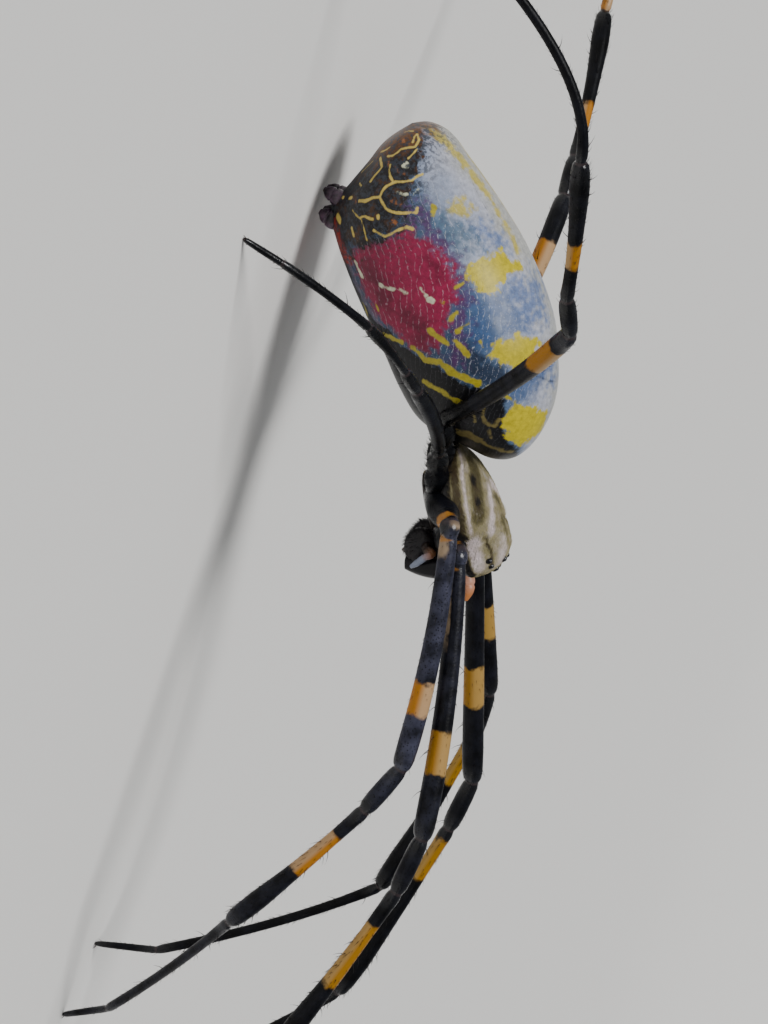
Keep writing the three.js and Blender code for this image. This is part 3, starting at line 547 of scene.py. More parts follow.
# the shape of each segment from hip to tarsus: share of its length, share of its half thickness
FORMS = [
    [(0, 1.0), (0.25, 1.2), (0.5, 1.34), (0.72, 1.24), (0.86, 0.98), (0.94, 0.8), (1, 0.88)],
    [(0, 0.92), (0.018, 0.96), (0.034, 0.84), (0.046, 0.74), (0.06, 0.8), (0.12, 0.84), (0.4, 0.9),
     (0.7, 0.98), (0.88, 1.0), (0.96, 0.96), (0.985, 0.86), (1, 0.68)],
    [(0, 0.72), (0.08, 0.92), (0.3, 1.0), (0.7, 1.02), (0.9, 0.95), (1, 0.72)],
    [(0, 0.6), (0.03, 0.74), (0.1, 0.68), (0.25, 0.66), (0.55, 0.8), (0.8, 1.0), (0.93, 0.95),
     (0.98, 0.8), (1, 0.5)],
    [(0, 0.9), (0.02, 1.15), (0.06, 1.12), (0.2, 1.0), (0.6, 0.94), (0.97, 0.98), (1, 0.82)],
    [(0, 0.9), (0.04, 1.02), (0.5, 0.95), (0.85, 0.85), (0.96, 0.7), (1, 0.3)],
]
# the hips of the two rear pairs, where the coxa meets a long trochanter
REAR_HIP = [(0, 1.0), (0.2, 1.2), (0.42, 1.32), (0.52, 1.0), (0.57, 0.78), (0.64, 1.05), (0.8, 1.12),
            (0.9, 0.92), (0.95, 0.74), (1, 0.86)]
# the orange rings, as segment (femur 1, tibia 3, metatarsus 4) and start and end along its length
RINGS = {
    "leg_right_1": ((1, 0.615, 0.765), (3, 0.19, 0.56)), "leg_right_3": (),
    "leg_right_2": ((1, 0.632, 0.765), (3, 0.21, 0.515)), "leg_left_3": (),
    "leg_right_4": ((1, 0.68, 0.88), (3, 0.25, 0.43)), "leg_left_1": ((1, 0.54, 0.69), (3, 0.06, 0.29)),
    "leg_left_2": ((1, 0.561, 0.712), (3, 0.07, 0.29)),
    "leg_left_4": ((1, 0.6, 0.76), (3, 0.2, 0.36), (4, 0, 0.1)),
}
# how yellow a leg's rings are, and how much painted grey light lies on its black, most on the lit right
# second leg
RING_YELLOW = {"leg_left_1": 0.7, "leg_left_2": 0.8, "leg_right_1": 0.55, "leg_right_4": 0.3}
PAINTED_LIGHT = {"leg_right_2": 1.0, "leg_right_4": 0.18, "leg_right_1": 0.3}
LEAST_PAINTED_LIGHT = 0.1
# how much of that painted light each segment has
PAINTED_LIGHT_SHARES = (0, 1, 0.5, 0.25, 0.25, 0.25)
# a pale cap on the right second leg's trochanter and a streak below it: place along the femur and
# round it from above, and reach along and round
CREAM_SPOTS = ((0, 0, 0.014, 0.42), (0.085, 0.85, 0.042, 0.4))
# a pale streak under the right first femur: where it ends along, and how far round it starts
STREAK_END, STREAK_FROM = 0.3, 0.66
# the orange skin of the front legs: where it lies along the coxa and the femur, and those lengths in
# mm
ORANGE_SKIN = ((0.93, 2.6), (0.055, 13))
# what stands for no pale or orange mark near and for no ring near, in mm
NO_MARK, NO_RING = 9, 100
# the painted highlight on the upper side of the front legs' coxa and trochanter
COXA_PAINTED_HIGHLIGHT, TROCHANTER_PAINTED_HIGHLIGHT = 0.25, 1.6
# where the trochanter ends along the femur of the two front pairs, and of the two rear pairs
FRONT_TROCHANTER, REAR_TROCHANTER = 0.036, 0.2
# along a segment in mm, and round it
RING_STEP, LEG_SIDES = 0.14, 20
SMOOTHINGS = 6

prosoma_frame = half_frame(prosoma_origin, PROSOMA_PITCH)


def body_point(out, forward_mm, up, leg_side=1):
    """A point of the head half, from its distances out, forward and up."""
    return prosoma_frame @ Vector((leg_side * out, -forward_mm, up))


def towards(leg_side, heading, rise_angle):
    """A direction from its heading outwards from straight ahead and its rise from level."""
    heading, rise_angle = math.radians(heading), math.radians(rise_angle)
    return Vector((leg_side * math.sin(heading) * math.cos(rise_angle),
                   -math.cos(heading) * math.cos(rise_angle), math.sin(rise_angle)))


def leg_joints(pair, leg_side, headings, rises, tarsus_drop):
    """The leg's joints from the root of the coxa down to the claws on the floor."""
    lengths = [length * MM for length in LEG_LENGTHS[pair]]
    joints = [body_point(*COXA_ROOTS[pair], leg_side), body_point(*HIPS[pair], leg_side)]
    for i, rise_angle in enumerate(rises):
        joints.append(joints[-1] + towards(leg_side, headings[i], rise_angle) * lengths[i])
    foot_height = lengths[4] * math.sin(math.radians(tarsus_drop))
    drop = math.degrees(math.asin((joints[-1].z - foot_height) / lengths[3]))
    joints.append(joints[-1] + towards(leg_side, headings[3], -drop) * lengths[3])
    joints.append(joints[-1] + towards(leg_side, headings[4], -tarsus_drop) * lengths[4])
    return joints


def leg_run(name):
    """The leg's middle line as rows: point, half thickness, distance from a joint, segment, share."""
    pair, leg_side, headings, rises, tarsus_drop, foot_bow, femur_bow = POSE[name]
    joints = leg_joints(pair, leg_side, headings, rises, tarsus_drop)
    bows = (0, femur_bow, 0, TIBIA_BOW, foot_bow, 0)
    rows = []
    for i, (start, end) in enumerate(zip(joints, joints[1:])):
        length = (end - start).length / MM
        steps = max(8, round(length / RING_STEP))
        shares = [(1 - math.cos(math.pi * step / steps)) / 4 + step / steps / 2 for step in range(steps)]
        for share in shares:
            form = REAR_HIP if i == 0 and pair > 1 else FORMS[i]
            thickness = float(np.interp(share, *zip(*form)))
            point = start.lerp(end, share) + UP * bows[i] * MM * 4 * share * (1 - share)
            rows.append([point, thickness * LEG_RADII[pair][i] * MM,
                         min(share, 1 - share) * length, i, share])
    rows.append([joints[-1], FORMS[-1][-1][1] * LEG_RADII[pair][-1] * MM, 0, len(joints) - 2, 1])
    for turn in range(SMOOTHINGS):
        middles = [row[0].copy() for row in rows]
        thicks = [row[1] for row in rows]
        for i in range(1, len(rows) - 1):
            rows[i][0] = (middles[i - 1] + middles[i] * 2 + middles[i + 1]) / 4
            if turn == 0:
                rows[i][1] = (thicks[i - 1] + thicks[i] * 2 + thicks[i + 1]) / 4
    return rows


def ring_frames(rows):
    """The directions along, across and above at each row of a tube."""
    frames = []
    for i, row in enumerate(rows):
        tangent = (rows[min(i + 1, len(rows) - 1)][0] - rows[max(i - 1, 0)][0]).normalized()
        across = tangent.cross(UP).normalized()
        frames.append((tangent, across, across.cross(tangent)))
    return frames


# hard cuticle gives a dull black, with grey painted on as light where the leg faced it, and shines only
# near the joints
leg_cuticle, tree, surface = finish_for("leg_cuticle", 0.34)
place = add(tree, "TexCoord")
broad = add(tree, "TexNoise", {"Vector": place, "Scale": 1.1 / MM, "Detail": 5})
black = add(tree, "ValToRGB", {"Fac": broad}, ((0.38, "#030304"), (0.68, "#0c0d12")))
grey = add(tree, "ValToRGB", {"Fac": broad}, ((0.34, "#101118"), (0.66, "#3c3d4d")))
# painted light: grey mixed into the black where the leg faced the light
painted_light = add(tree, "Attribute", attribute_name="painted_light")
colour = add(tree, "Mix", {0: painted_light, 6: black, 7: grey}, data_type="RGBA")
# a black dot round the root of each bristle
dots = add(tree, "TexVoronoi", {"Vector": place, "Scale": 7 / MM})
dots = add(tree, "MapRange", {"Value": dots, "From Min": 0.32, "From Max": 0.2, "To Max": 0.8})
colour = add(tree, "Mix", {0: dots, 6: colour, 7: linear("#030305")}, data_type="RGBA")
deep = add(tree, "Attribute", attribute_name="deep")
# the pale end of each ring's colour is a painted highlight on its lit side
orange = add(tree, "ValToRGB", {"Fac": deep}, ((0.34, "#b39068"), (0.6, "#ab6f1a")))
amber = add(tree, "ValToRGB", {"Fac": deep}, ((0.34, "#a37f2e"), (0.62, "#8f6b10")))
yellowness = add(tree, "Attribute", attribute_name="yellow")
ring_colour = add(tree, "Mix", {0: yellowness, 6: orange, 7: amber}, data_type="RGBA")
ragged = add(tree, "TexNoise", {"Vector": place, "Scale": 2.6 / MM, "Detail": 3})
wander = add(tree, "Math", {0: ragged, 1: 0.5}, operation="SUBTRACT")
for layer in (("ring", ring_colour, 0.14, 0.35, 0.92), ("cream", "#978269", 0.16, 0.25, 0.92),
              ("membrane", "#a5702c", 0.07, 0.125, 0.92)):
    colour = laid_over(tree, colour, wander, *layer)[0]
joint = add(tree, "Attribute", attribute_name="joint")
skin_gap = add(tree, "MapRange", {"Value": joint, "From Min": 0.1, "From Max": 0.02, "To Max": 0.6})
colour = add(tree, "Mix", {0: skin_gap, 6: colour, 7: linear("#3b2f30")}, data_type="RGBA")
tree.links.new(colour, surface.inputs["Base Color"])
# socket, its value at a joint and its value away from one
for socket, near, far in (("Roughness", 0.2, 0.38), ("Specular IOR Level", 0.4, 0.12)):
    gloss = add(tree, "MapRange", {"Value": joint, "From Min": 0.25, "From Max": 1.2,
                                   "To Min": near, "To Max": far})
    tree.links.new(gloss, surface.inputs[socket])
fine = add(tree, "TexNoise", {"Vector": place, "Scale": 9 / MM, "Detail": 3})
bump = add(tree, "Bump", {"Height": fine, "Strength": 0.45, "Distance": 0.04 * MM})
tree.links.new(bump, surface.inputs["Normal"])


def swept(name, rows, sides, fields=(), values=lambda i, upward: (), floor=None):
    """A round skin along rows that each start with a middle point and a half thickness."""
    frames = ring_frames(rows)
    rings = len(rows) + 1

    def place(share, across, upward):
        step = round(share * rings)
        i = min(max(step - 1, 0), len(rows) - 1)
        tangent, sideways, above = frames[i]
        if step in (0, rings):
            across = upward = 0
        where = rows[i][0] + (sideways * across + above * upward) * rows[i][1]
        if floor is not None:
            where.z = max(where.z, floor)
        return (where, *values(i, upward))

    return shell(name, rings, sides, place, fields)


legs = {}
for name, (pair, *rest) in POSE.items():
    rows = leg_run(name)
    legs[name] = rows

    def leg_values(i, upward):
        segment, part = rows[i][3:]
        under = 0.5 - upward / 2
        gaps = [max(start - part, part - end) * LEG_LENGTHS[pair][ringed - 1]
                for ringed, start, end in RINGS[name] if ringed == segment]
        # the rings are palest above on a femur and below on a tibia: a painted highlight on the side that
        # was lit
        deep = 1 - under if segment == 3 else under
        cream = NO_MARK
        if segment == 1 and name == "leg_right_1":
            cream = max(part - STREAK_END, STREAK_FROM - under) * 3
        if segment == 1 and name == "leg_right_2":
            cream = min(math.hypot((part - along) / reach, (under - lower) / spread) - 1
                        for along, lower, reach, spread in CREAM_SPOTS) * 0.35
        membrane = NO_MARK
        if segment < 2 and pair < 2:
            skin_at, length_mm = ORANGE_SKIN[segment]
            # it is broadest below
            membrane = min(abs(part - skin_at) * length_mm, NO_MARK) + 0.06 - 0.22 * under
        # painted light: grey on the legs that faced the light, and a painted highlight on top of the
        # front hips
        painted_light = PAINTED_LIGHT.get(name, LEAST_PAINTED_LIGHT) * PAINTED_LIGHT_SHARES[segment]
        if segment == 1 and part < FRONT_TROCHANTER and pair < 2:
            painted_light = TROCHANTER_PAINTED_HIGHLIGHT * (1 - under)
        if segment == 0 and pair < 2:
            painted_light = COXA_PAINTED_HIGHLIGHT * (1 - under)
        if segment == 1 and part < REAR_TROCHANTER and pair > 1:
            painted_light = 0
        ring = min(gaps, default=NO_RING)
        return ring, rows[i][2], deep, cream, membrane, painted_light, RING_YELLOW.get(name, 0)

    leg = swept(f"{name}_skin", rows, LEG_SIDES,
                ("ring", "joint", "deep", "cream", "membrane", "painted_light", "yellow"), leg_values, 0)
    settle(leg, leg_cuticle, "leg_cuticle", f"{name}_femur", f"{name}_tibia", f"{name}_foot")

# Bristles: fine dark hairs that grow from the legs' cuticle and lean towards the claws. They are
# shortest and closest on the far half of the tibia, with a few long ones that stand out.
# on each segment: hairs to the mm of a leg as thick as COUNTED_ON, shortest and longest in mm,
# lean from the skin in degrees
HAIRS = [(12, 0.2, 0.42, 40), (9, 0.16, 0.34, 35), (10, 0.2, 0.4, 40), (24, 0.22, 0.46, 32),
         (20, 0.2, 0.4, 35), (24, 0.12, 0.26, 40)]
# the same on the hips: those of the rear legs are black with close hair
REAR_HIP_HAIRS, FRONT_HIP_HAIRS = (52, 0.25, 0.6, 52), (9, 0.15, 0.3, 40)
# where the hips end along the femur
HIP_END = 0.2
COUNTED_ON = 0.4
# half thickness in mm, a little more than a real hair's, so that it shows
HAIR_THICKNESS = 0.014
# one in so many is long, stands out and is thicker
LONG_EVERY, LONG_LENGTHS, LONG_LEAN, LONG_THICKNESS = 13, (0.45, 0.8), 55, 0.026
# how high a hair's tip is at least above the floor, and at most above the solids' top, in mm
TIP_ABOVE_FLOOR, TIP_ABOVE_SOLIDS = 0.05, 0.15
# how deep in the skin a hair is rooted, and how far it bends down to the skin, as shares
ROOTED, BENT = 0.96, 0.4
# where a hair's triangles meet, as shares of its length
HAIR_RINGS = (0.35, 0.7)


def hair_form():
    """One hair as a three-sided spike, one unit long: its points and its triangles."""
    work = bmesh.new()
    bmesh.ops.create_cone(work, cap_ends=True, segments=3, radius1=1, radius2=0, depth=1)
    bmesh.ops.translate(work, verts=work.verts, vec=(0, 0, 0.5))
    for height in HAIR_RINGS:
        parts = work.verts[:] + work.edges[:] + work.faces[:]
        bmesh.ops.bisect_plane(work, geom=parts, plane_co=(0, 0, height), plane_no=(0, 0, 1))
    bmesh.ops.remove_doubles(work, verts=work.verts, dist=1e-4)
    bmesh.ops.triangulate(work, faces=work.faces)
    bmesh.ops.recalc_face_normals(work, faces=work.faces)
    work.verts.ensure_lookup_table()
    points = np.array([vertex.co[:] for vertex in work.verts])
    faces = np.array([[vertex.index for vertex in face.verts] for face in work.faces])
    work.free()
    return points, faces


hair_points, hair_faces = hair_form()
# how wide a hair's patch is on the unwrapped skin
PATCH = 0.003


def coat(name, hairs, fields=()):
    """Many hairs as one mesh. Each is (root, direction at the root, direction at the tip, length,
    half thickness, place on the unwrapped skin, one value for each field), in metres."""
    roots, first, last = (np.array([hair[i][:] for hair in hairs]) for i in range(3))
    lengths, thick = (np.array([hair[i] for hair in hairs]) for i in (3, 4))
    places = np.array([hair[5] for hair in hairs])
    first /= np.linalg.norm(first, axis=1, keepdims=True)
    last /= np.linalg.norm(last, axis=1, keepdims=True)
    height = hair_points[:, 2]
    sideways = np.cross(first, last + [0.01, 0.02, 0.03])
    sideways /= np.linalg.norm(sideways, axis=1, keepdims=True)
    other = np.cross(sideways, first)
    run = (height[None, :, None] * first[:, None] + (height ** 2)[None, :, None] / 2
           * (last - first)[:, None])
    round_it = (hair_points[None, :, 0, None] * sideways[:, None]
                + hair_points[None, :, 1, None] * other[:, None])
    points = (roots[:, None] + run * lengths[:, None, None]
              + round_it * thick[:, None, None]).reshape(-1, 3)
    faces = (hair_faces[None] + np.arange(len(hairs))[:, None, None] * len(hair_points)).reshape(-1, 3)
    mesh = bpy.data.meshes.new(name)
    mesh.from_pydata(points.tolist(), [], faces.tolist())
    spread = np.stack([hair_points[:, 0] / 2 + 0.5, height], axis=1)[hair_faces].reshape(-1, 2)
    unwrap = mesh.uv_layers.new(name="OFBake")
    unwrap.data.foreach_set("uv", (places[:, None] + spread[None] * PATCH).ravel())
    for k, field in enumerate(fields):
        column = np.repeat([hair[6 + k] for hair in hairs], len(hair_points))
        mesh.attributes.new(field, "FLOAT", "POINT").data.foreach_set("value", column)
    return set_out(name, mesh)


def spot_at(turn, share):
    """A hair's place on the unwrapped skin, from its angle round the piece and its share along."""
    return turn / (2 * math.pi) % 1 * 0.99, share * 0.99


def patterned(name, roughness, pattern, stops, grain=None, field=None, drift=1, **shader):
    """A finish whose colour runs through some stops with a noise of (spots to the mm, detail),
    added to a field of the piece where one is named, and with a grain of (spots to the mm, detail,
    strength, depth in mm): (material, node tree, shader node, colour)."""
    material, tree, surface = finish_for(name, roughness, **shader)
    place = add(tree, "TexCoord")
    along = add(tree, "TexNoise", {"Vector": place, "Scale": pattern[0] / MM, "Detail": pattern[1]})
    if field:
        values = add(tree, "Attribute", attribute_name=field)
        along = add(tree, "Math", {0: along, 1: drift, 2: values}, operation="MULTIPLY_ADD")
    colour = add(tree, "ValToRGB", {"Fac": along}, stops)
    tree.links.new(colour, surface.inputs["Base Color"])
    if grain:
        scale, detail, strength, depth = grain
        fine = add(tree, "TexNoise", {"Vector": place, "Scale": scale / MM, "Detail": detail})
        bump = add(tree, "Bump", {"Height": fine, "Strength": strength, "Distance": depth * MM})
        tree.links.new(bump, surface.inputs["Normal"])
    return material, tree, surface, colour


# dull horn, nearly black, hardly shines, so that the hairs read as a soft dark fringe
bristle = patterned("bristle", 0.5, (0.9, 3), ((0.35, "#060507"), (0.7, "#1a1616")),
                    specular_ior_level=0.2)[0]
for name, rows in legs.items():
    random.seed(name)
    frames = ring_frames(rows)
    hairs = []
    for i in range(1, len(rows) - 3):
        segment, part = rows[i][3:]
        step = (rows[i + 1][0] - rows[i][0]).length / MM
        per_mm, shortest, longest, lean = HAIRS[segment]
        if segment == 3:
            per_mm *= 0.5 + part
        if segment == 0 or segment == 1 and part < HIP_END:
            rear = "3" in name or "4" in name
            per_mm, shortest, longest, lean = REAR_HIP_HAIRS if rear else FRONT_HIP_HAIRS
        count = step * per_mm * rows[i][1] / MM / COUNTED_ON
        for _ in range(int(count) + (random.random() < count % 1)):
            turn, part_way = random.uniform(0, 2 * math.pi), random.random()
            tangent, sideways, above = frames[i]
            outward = sideways * math.cos(turn) + above * math.sin(turn)
            length = random.uniform(shortest, longest)
            stand = math.radians(lean * random.uniform(0.7, 1.3))
            thickness = HAIR_THICKNESS
            # neither the coxa nor the tarsus has long ones
            if random.randrange(LONG_EVERY) == 0 and segment not in (0, 5):
                length, stand = random.uniform(*LONG_LENGTHS), math.radians(LONG_LEAN)
                thickness = LONG_THICKNESS
            root = rows[i][0].lerp(rows[i + 1][0], part_way) + outward * rows[i][1] * ROOTED
            start = tangent * math.cos(stand) + outward * math.sin(stand)
            end = tangent * math.cos(stand * BENT) + outward * math.sin(stand * BENT)
            tip = root + end * length * MM
            if not TIP_ABOVE_FLOOR * MM < tip.z < cad_box[1][2] + TIP_ABOVE_SOLIDS * MM:
                continue
            hairs.append((root, start, end, length * MM, thickness * MM, spot_at(turn, i / len(rows))))
    hair = coat(f"{name}_bristles", hairs)
    hair.data.materials.append(bristle)
    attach(hair, "root")

# Claws: a pair of small dark hooks of horn at the end of each tarsus, which grip the ground. Both
# grow out of its blunt tip, part a little and bend down.
CLAW_LENGTH, CLAW_THICKNESS, CLAW_SPREAD = 0.3, 0.04, 0.09
CLAW_RINGS, CLAW_SIDES = 8, 8
# how far a claw arches up and then bends down, as shares of its length
CLAW_ARCH, CLAW_BEND = 0.5, 0.25


def joined(name, pieces):
    """Several finished pieces as one object."""
    work = bmesh.new()
    for piece in pieces:
        work.from_mesh(piece.data)
        old = piece.data
        bpy.data.objects.remove(piece)
        bpy.data.meshes.remove(old)
    mesh = bpy.data.meshes.new(name)
    work.to_mesh(mesh)
    work.free()
    return set_out(name, mesh)


# polished horn, dark red brown, catches small sharp lights
claw_horn = patterned("claw_horn", 0.25, (5, 2), ((0, "#1b1010"), (1, "#3c2018")))[0]
for name, rows in legs.items():
    tip, heading = rows[-2][0], (rows[-1][0] - rows[-6][0]).normalized()
    level_out = Vector((heading.x, heading.y, 0)).normalized()
    aside = level_out.cross(UP)
    hooks = []
    for turn in (-1, 1):
        hook = []
        for k in range(CLAW_RINGS + 1):
            t = k / CLAW_RINGS
            point = (tip + aside * turn * CLAW_SPREAD * MM * (0.3 + 0.7 * t)
                     + level_out * CLAW_LENGTH * MM * t
                     + UP * CLAW_LENGTH * MM * (CLAW_ARCH * t * (1 - t) - CLAW_BEND * t * t))
            # no claw sinks into the ground
            point.z = max(point.z, CLAW_THICKNESS * MM * 1.05 * (1 - 0.7 * t))
            hook.append([point, CLAW_THICKNESS * MM * (1 - 0.75 * t)])
        hooks.append(swept(f"{name}_hook", hook, CLAW_SIDES, floor=0))
    claws = joined(f"{name}_claws", hooks)
    settle(claws, claw_horn, "fang")

# The carapace: one hard shield over the head and chest. Its own cuticle is dark, and carries the
# same pale and dark marks as the hair that clothes it.
# distance forward, height of the back, of the side edge and of the underside, half width
CARAPACE = [
    (-0.2, 0.1, 0.1, 0.1, 0), (0.0, 0.42, 0.0, -0.35, 0.9), (0.5, 0.78, -0.1, -0.7, 1.7),
    (1.2, 1.15, -0.12, -0.95, 2.35), (2.2, 1.5, -0.1, -1.1, 2.75), (3.2, 1.72, -0.05, -1.1, 2.75),
    (4.0, 1.84, -0.05, -1.1, 2.35), (4.7, 1.9, -0.1, -1.05, 1.92), (5.35, 1.84, -0.15, -0.95, 1.75),
    (5.9, 1.55, -0.2, -0.85, 1.62), (6.3, 1.1, -0.2, -0.65, 1.35), (6.52, 0.55, -0.15, -0.4, 0.8),
    (6.6, 0.1, 0.1, 0.1, 0),
]
# how fast the body draws in below the carapace's edge
UNDERSIDE_NARROWING = 1.3
# a groove runs round the back of the head: where it is on the middle line, how far forward it runs
# for each millimetre out, and its reach and depth
GROOVE_AT, GROOVE_SLANT, GROOVE_REACH, GROOVE_DEPTH = 3.6, 0.75, 0.22, 0.14
# a pit lies in the middle of the chest: where it is, its reach along and across, and its depth
PIT_AT, PIT_ALONG, PIT_ACROSS, PIT_DEPTH = 2.6, 0.35, 0.3, 0.22
CARAPACE_RINGS, CARAPACE_SIDES = 120, 120
# how dark the coat is between the marks
COAT_TONE = 0.22
# the marks, each laid over those before it: how dark it is, softness of its edge in mm, half
# thickness in mm, and points as distance forward in mm and angle above the side edge in degrees
COAT_MARKS = [
    (0.5, 0.2, 0.42, [(0.9, 76), (2.07, 54), (3.3, 40)]),
    (0.6, 0.05, 0.2, [(-0.1, 22), (0.33, 25), (1.77, 17), (3.26, 11), (4.0, 5)]),
    (0.0, 0.05, 0.075, [(-0.1, 64), (0.13, 60), (1.28, 35), (2.77, 26), (3.73, 21), (4.05, 19)]),
    (0.16, 0.1, 0.12, [(0.1, 72), (0.6, 62), (1.2, 50)]),
    (0.6, 0.25, 0.12, [(1.5, 55), (2.6, 47), (2.9, 44)]),
    (1.0, 0.08, 0.16, [(1.55, 57), (1.7, 54)]), (1.0, 0.08, 0.15, [(2.55, 48), (2.7, 46)]),
    (0.0, 0.16, 0.22, [(2.3, 82), (2.75, 74), (3.58, 62), (4.35, 48)]),
    (0.5, 0.2, 0.1, [(2.9, 95), (4.2, 84), (5.1, 74)]),
    (0.0, 0.2, 0.36, [(4.55, 16), (5.1, 13), (5.9, 18)]),
    (0.06, 0.2, 0.28, [(5.0, 66), (5.5, 62), (6.0, 62)]),
    (0.85, 0.1, 0.06, [(4.55, 36), (5.0, 37), (5.95, 43)]),
    (1.0, 0.1, 0.16, [(3.95, -4), (4.3, 8)]),
    (0.97, 0.1, 0.4, [(-0.2, -14), (2.0, -16), (4.4, -14), (6.3, -16)]),
]


def carapace_place(share, across, upward):
    forward_mm, back_height, edge_height, underside, half_width = on_curve(CARAPACE, share)
    if share in (0, 1):
        across = upward = 0
    if upward < 0:
        across = math.copysign(abs(across) ** UNDERSIDE_NARROWING, across)
        up = edge_height + (edge_height - underside) * upward
    else:
        up = edge_height + (back_height - edge_height) * upward
    out = half_width * across
    beyond = forward_mm - GROOVE_AT - GROOVE_SLANT * abs(out)
    groove = math.exp(-(beyond / GROOVE_REACH) ** 2) * max(upward, 0)
    pit = math.exp(-((forward_mm - PIT_AT) / PIT_ALONG) ** 2 - (out / PIT_ACROSS) ** 2)
    up -= GROOVE_DEPTH * groove + PIT_DEPTH * pit * (upward > 0)
    point = Vector((out, -forward_mm, up))
    carapace_spots.append((abs(point.x), forward_mm, point.z))
    return (prosoma_frame @ point,)


carapace_curve = np.array([on_curve(CARAPACE, step / 400) for step in range(401)])


def carapace_points(ahead, degrees):
    """Points of one side, in the carapace's own millimetres, at distances forward and angles."""
    back_height, edge_height, underside, half_width = (
        np.interp(ahead, carapace_curve[:, 0], carapace_curve[:, i]) for i in (1, 2, 3, 4))
    turn = np.radians(degrees)
    reach = np.where(degrees < 0, edge_height - underside, back_height - edge_height)
    out = half_width * np.abs(np.cos(turn)) ** np.where(degrees < 0, UNDERSIDE_NARROWING, 1)
    return np.stack([out, ahead, edge_height + reach * np.sin(turn)], axis=-1)


def coat_darkness(spots):
    """How dark the coat is at some points of the carapace: 0 is silver white, and 1 is black."""
    spots = np.array(spots)
    darkness = np.full(len(spots), COAT_TONE)
    for tone, softness, half_thickness, line in COAT_MARKS:
        away = from_lines([(half_thickness, line)], spots, carapace_points)
        cover = np.clip(0.5 - away / (2 * softness), 0, 1)
        darkness += (tone - darkness) * cover * cover * (3 - 2 * cover)
    return darkness


carapace_spots = []
carapace = shell("carapace_skin", CARAPACE_RINGS, CARAPACE_SIDES, carapace_place)
darkness = carapace.data.attributes.new("dark", "FLOAT", "POINT")
darkness.data.foreach_set("value", coat_darkness(carapace_spots))
# dry, close-grained cuticle scatters the light, so that the shield is dull under its hair
carapace_cuticle = patterned(
    "carapace_cuticle", 0.5, (1.8, 4),
    ((0.1, "#c4bbb6"), (0.45, "#827b66"), (0.8, "#453c2c"), (1, "#131014")),
    grain=(9, 2, 0.5, 0.05), field="dark", drift=0.3)[0]
settle(carapace, carapace_cuticle, "carapace_cuticle", "carapace")

# Carapace hair: short hairs pressed flat against the shield, silver white, olive and brown in
# bands, as on the shield itself. They stop at its side edge, where the bare dark body begins.
HAIRS_EACH_SIDE = 9500
# the lowest hairs' angle above the side edge, and the range of angles at which hairs stand, in
# degrees
LOWEST_HAIR, STAND = -6, (8, 24)
COAT_LENGTHS, COAT_THICKNESS, COAT_ROOTED = (0.24, 0.42), 0.015, 0.01
# hairs are shorter on the face, which starts so far forward
FACE_AT, FACE_LENGTH = 5.6, 0.6
# the shares of the carapace's length that have hair, and the half width at which no hair is left out
COAT_SPAN, FULL_WIDTH = (0.05, 0.97), 2.8


def carapace_lie(share, turn):
    """A place on the carapace: point, outward direction and the way to the rear along the skin."""
    step = 0.004
    here, on, beside, middle = (
        carapace_place(*place)[0]
        for place in ((share, math.cos(turn), math.sin(turn)),
                      (share - step, math.cos(turn), math.sin(turn)),
                      (share, math.cos(turn + step), math.sin(turn + step)), (share, 0, 0)))
    rearward = (on - here).normalized()
    outward = rearward.cross(beside - here).normalized()
    return here, outward if outward.dot(here - middle) > 0 else -outward, rearward


# fine hairs scatter the light evenly, so that the coat has a pale satin look
silver_hair = patterned(
    "silver_hair", 0.5, (2.6, 3),
    ((0.12, "#fdf0f2"), (0.38, "#b8ad84"), (0.6, "#756d45"), (0.8, "#51402a"), (1, "#1d1814")),
    field="dark", drift=0.3)[0]
random.seed(11)
for side_name, first_turn in (("left", 0), ("right", math.pi / 2)):
    hairs, spots = [], []
    while len(hairs) < HAIRS_EACH_SIDE:
        share = random.uniform(*COAT_SPAN)
        row = on_curve(CARAPACE, share)
        if random.random() > row[4] / FULL_WIDTH:
            continue
        turn = random.uniform(first_turn, first_turn + math.pi / 2)
        turn += math.radians(LOWEST_HAIR) * (1 - 2 * (first_turn > 0)) * random.random()
        here, outward, rearward = carapace_lie(share, turn)
        # the hair's own place is the first of the four that were looked up
        spots.append(carapace_spots[-4])
        sideways = outward.cross(rearward)
        way = (rearward + sideways * random.gauss(0, 0.3)).normalized()
        stand = math.radians(random.uniform(*STAND))
        start = way * math.cos(stand) + outward * math.sin(stand)
        end = way * math.cos(stand * 0.2) + outward * math.sin(stand * 0.2)
        length = random.uniform(*COAT_LENGTHS) * (1 if row[0] < FACE_AT else FACE_LENGTH)
        hairs.append([here - outward * COAT_ROOTED * MM, start, end, length * MM,
                      COAT_THICKNESS * MM, spot_at(turn, share)])
    hairs = [(*hair, darkness) for hair, darkness in zip(hairs, coat_darkness(spots))]
    silver_coat = coat(f"carapace_hair_{side_name}", hairs, ("dark",))
    settle(silver_coat, silver_hair, "carapace_cuticle")

# The sternum: a flat shield of hard cuticle under the head half, between the hips. It is dark
# with a paler middle, and its edge meets the soft skin round the coxae.
STERNUM = {"rear": 0.9, "front": 4.2, "height": -1.65, "half_width": 1.05, "half_depth": 0.28}
STERNUM_RINGS, STERNUM_SIDES = 32, 40


def sternum_place(share, across, upward):
    reach = math.sin(math.pi * share)
    along = (1 - math.cos(math.pi * share)) / 2
    forward_mm = STERNUM["rear"] + (STERNUM["front"] - STERNUM["rear"]) * along
    # it is widest towards the front
    out = STERNUM["half_width"] * reach ** 0.8 * (0.86 + 0.14 * share) * across
    up = STERNUM["height"] + STERNUM["half_depth"] * reach * upward
    return prosoma_frame @ Vector((out, -forward_mm, up)), abs(out)


sternum = shell("sternum_plate", STERNUM_RINGS, STERNUM_SIDES, sternum_place, ("out",))
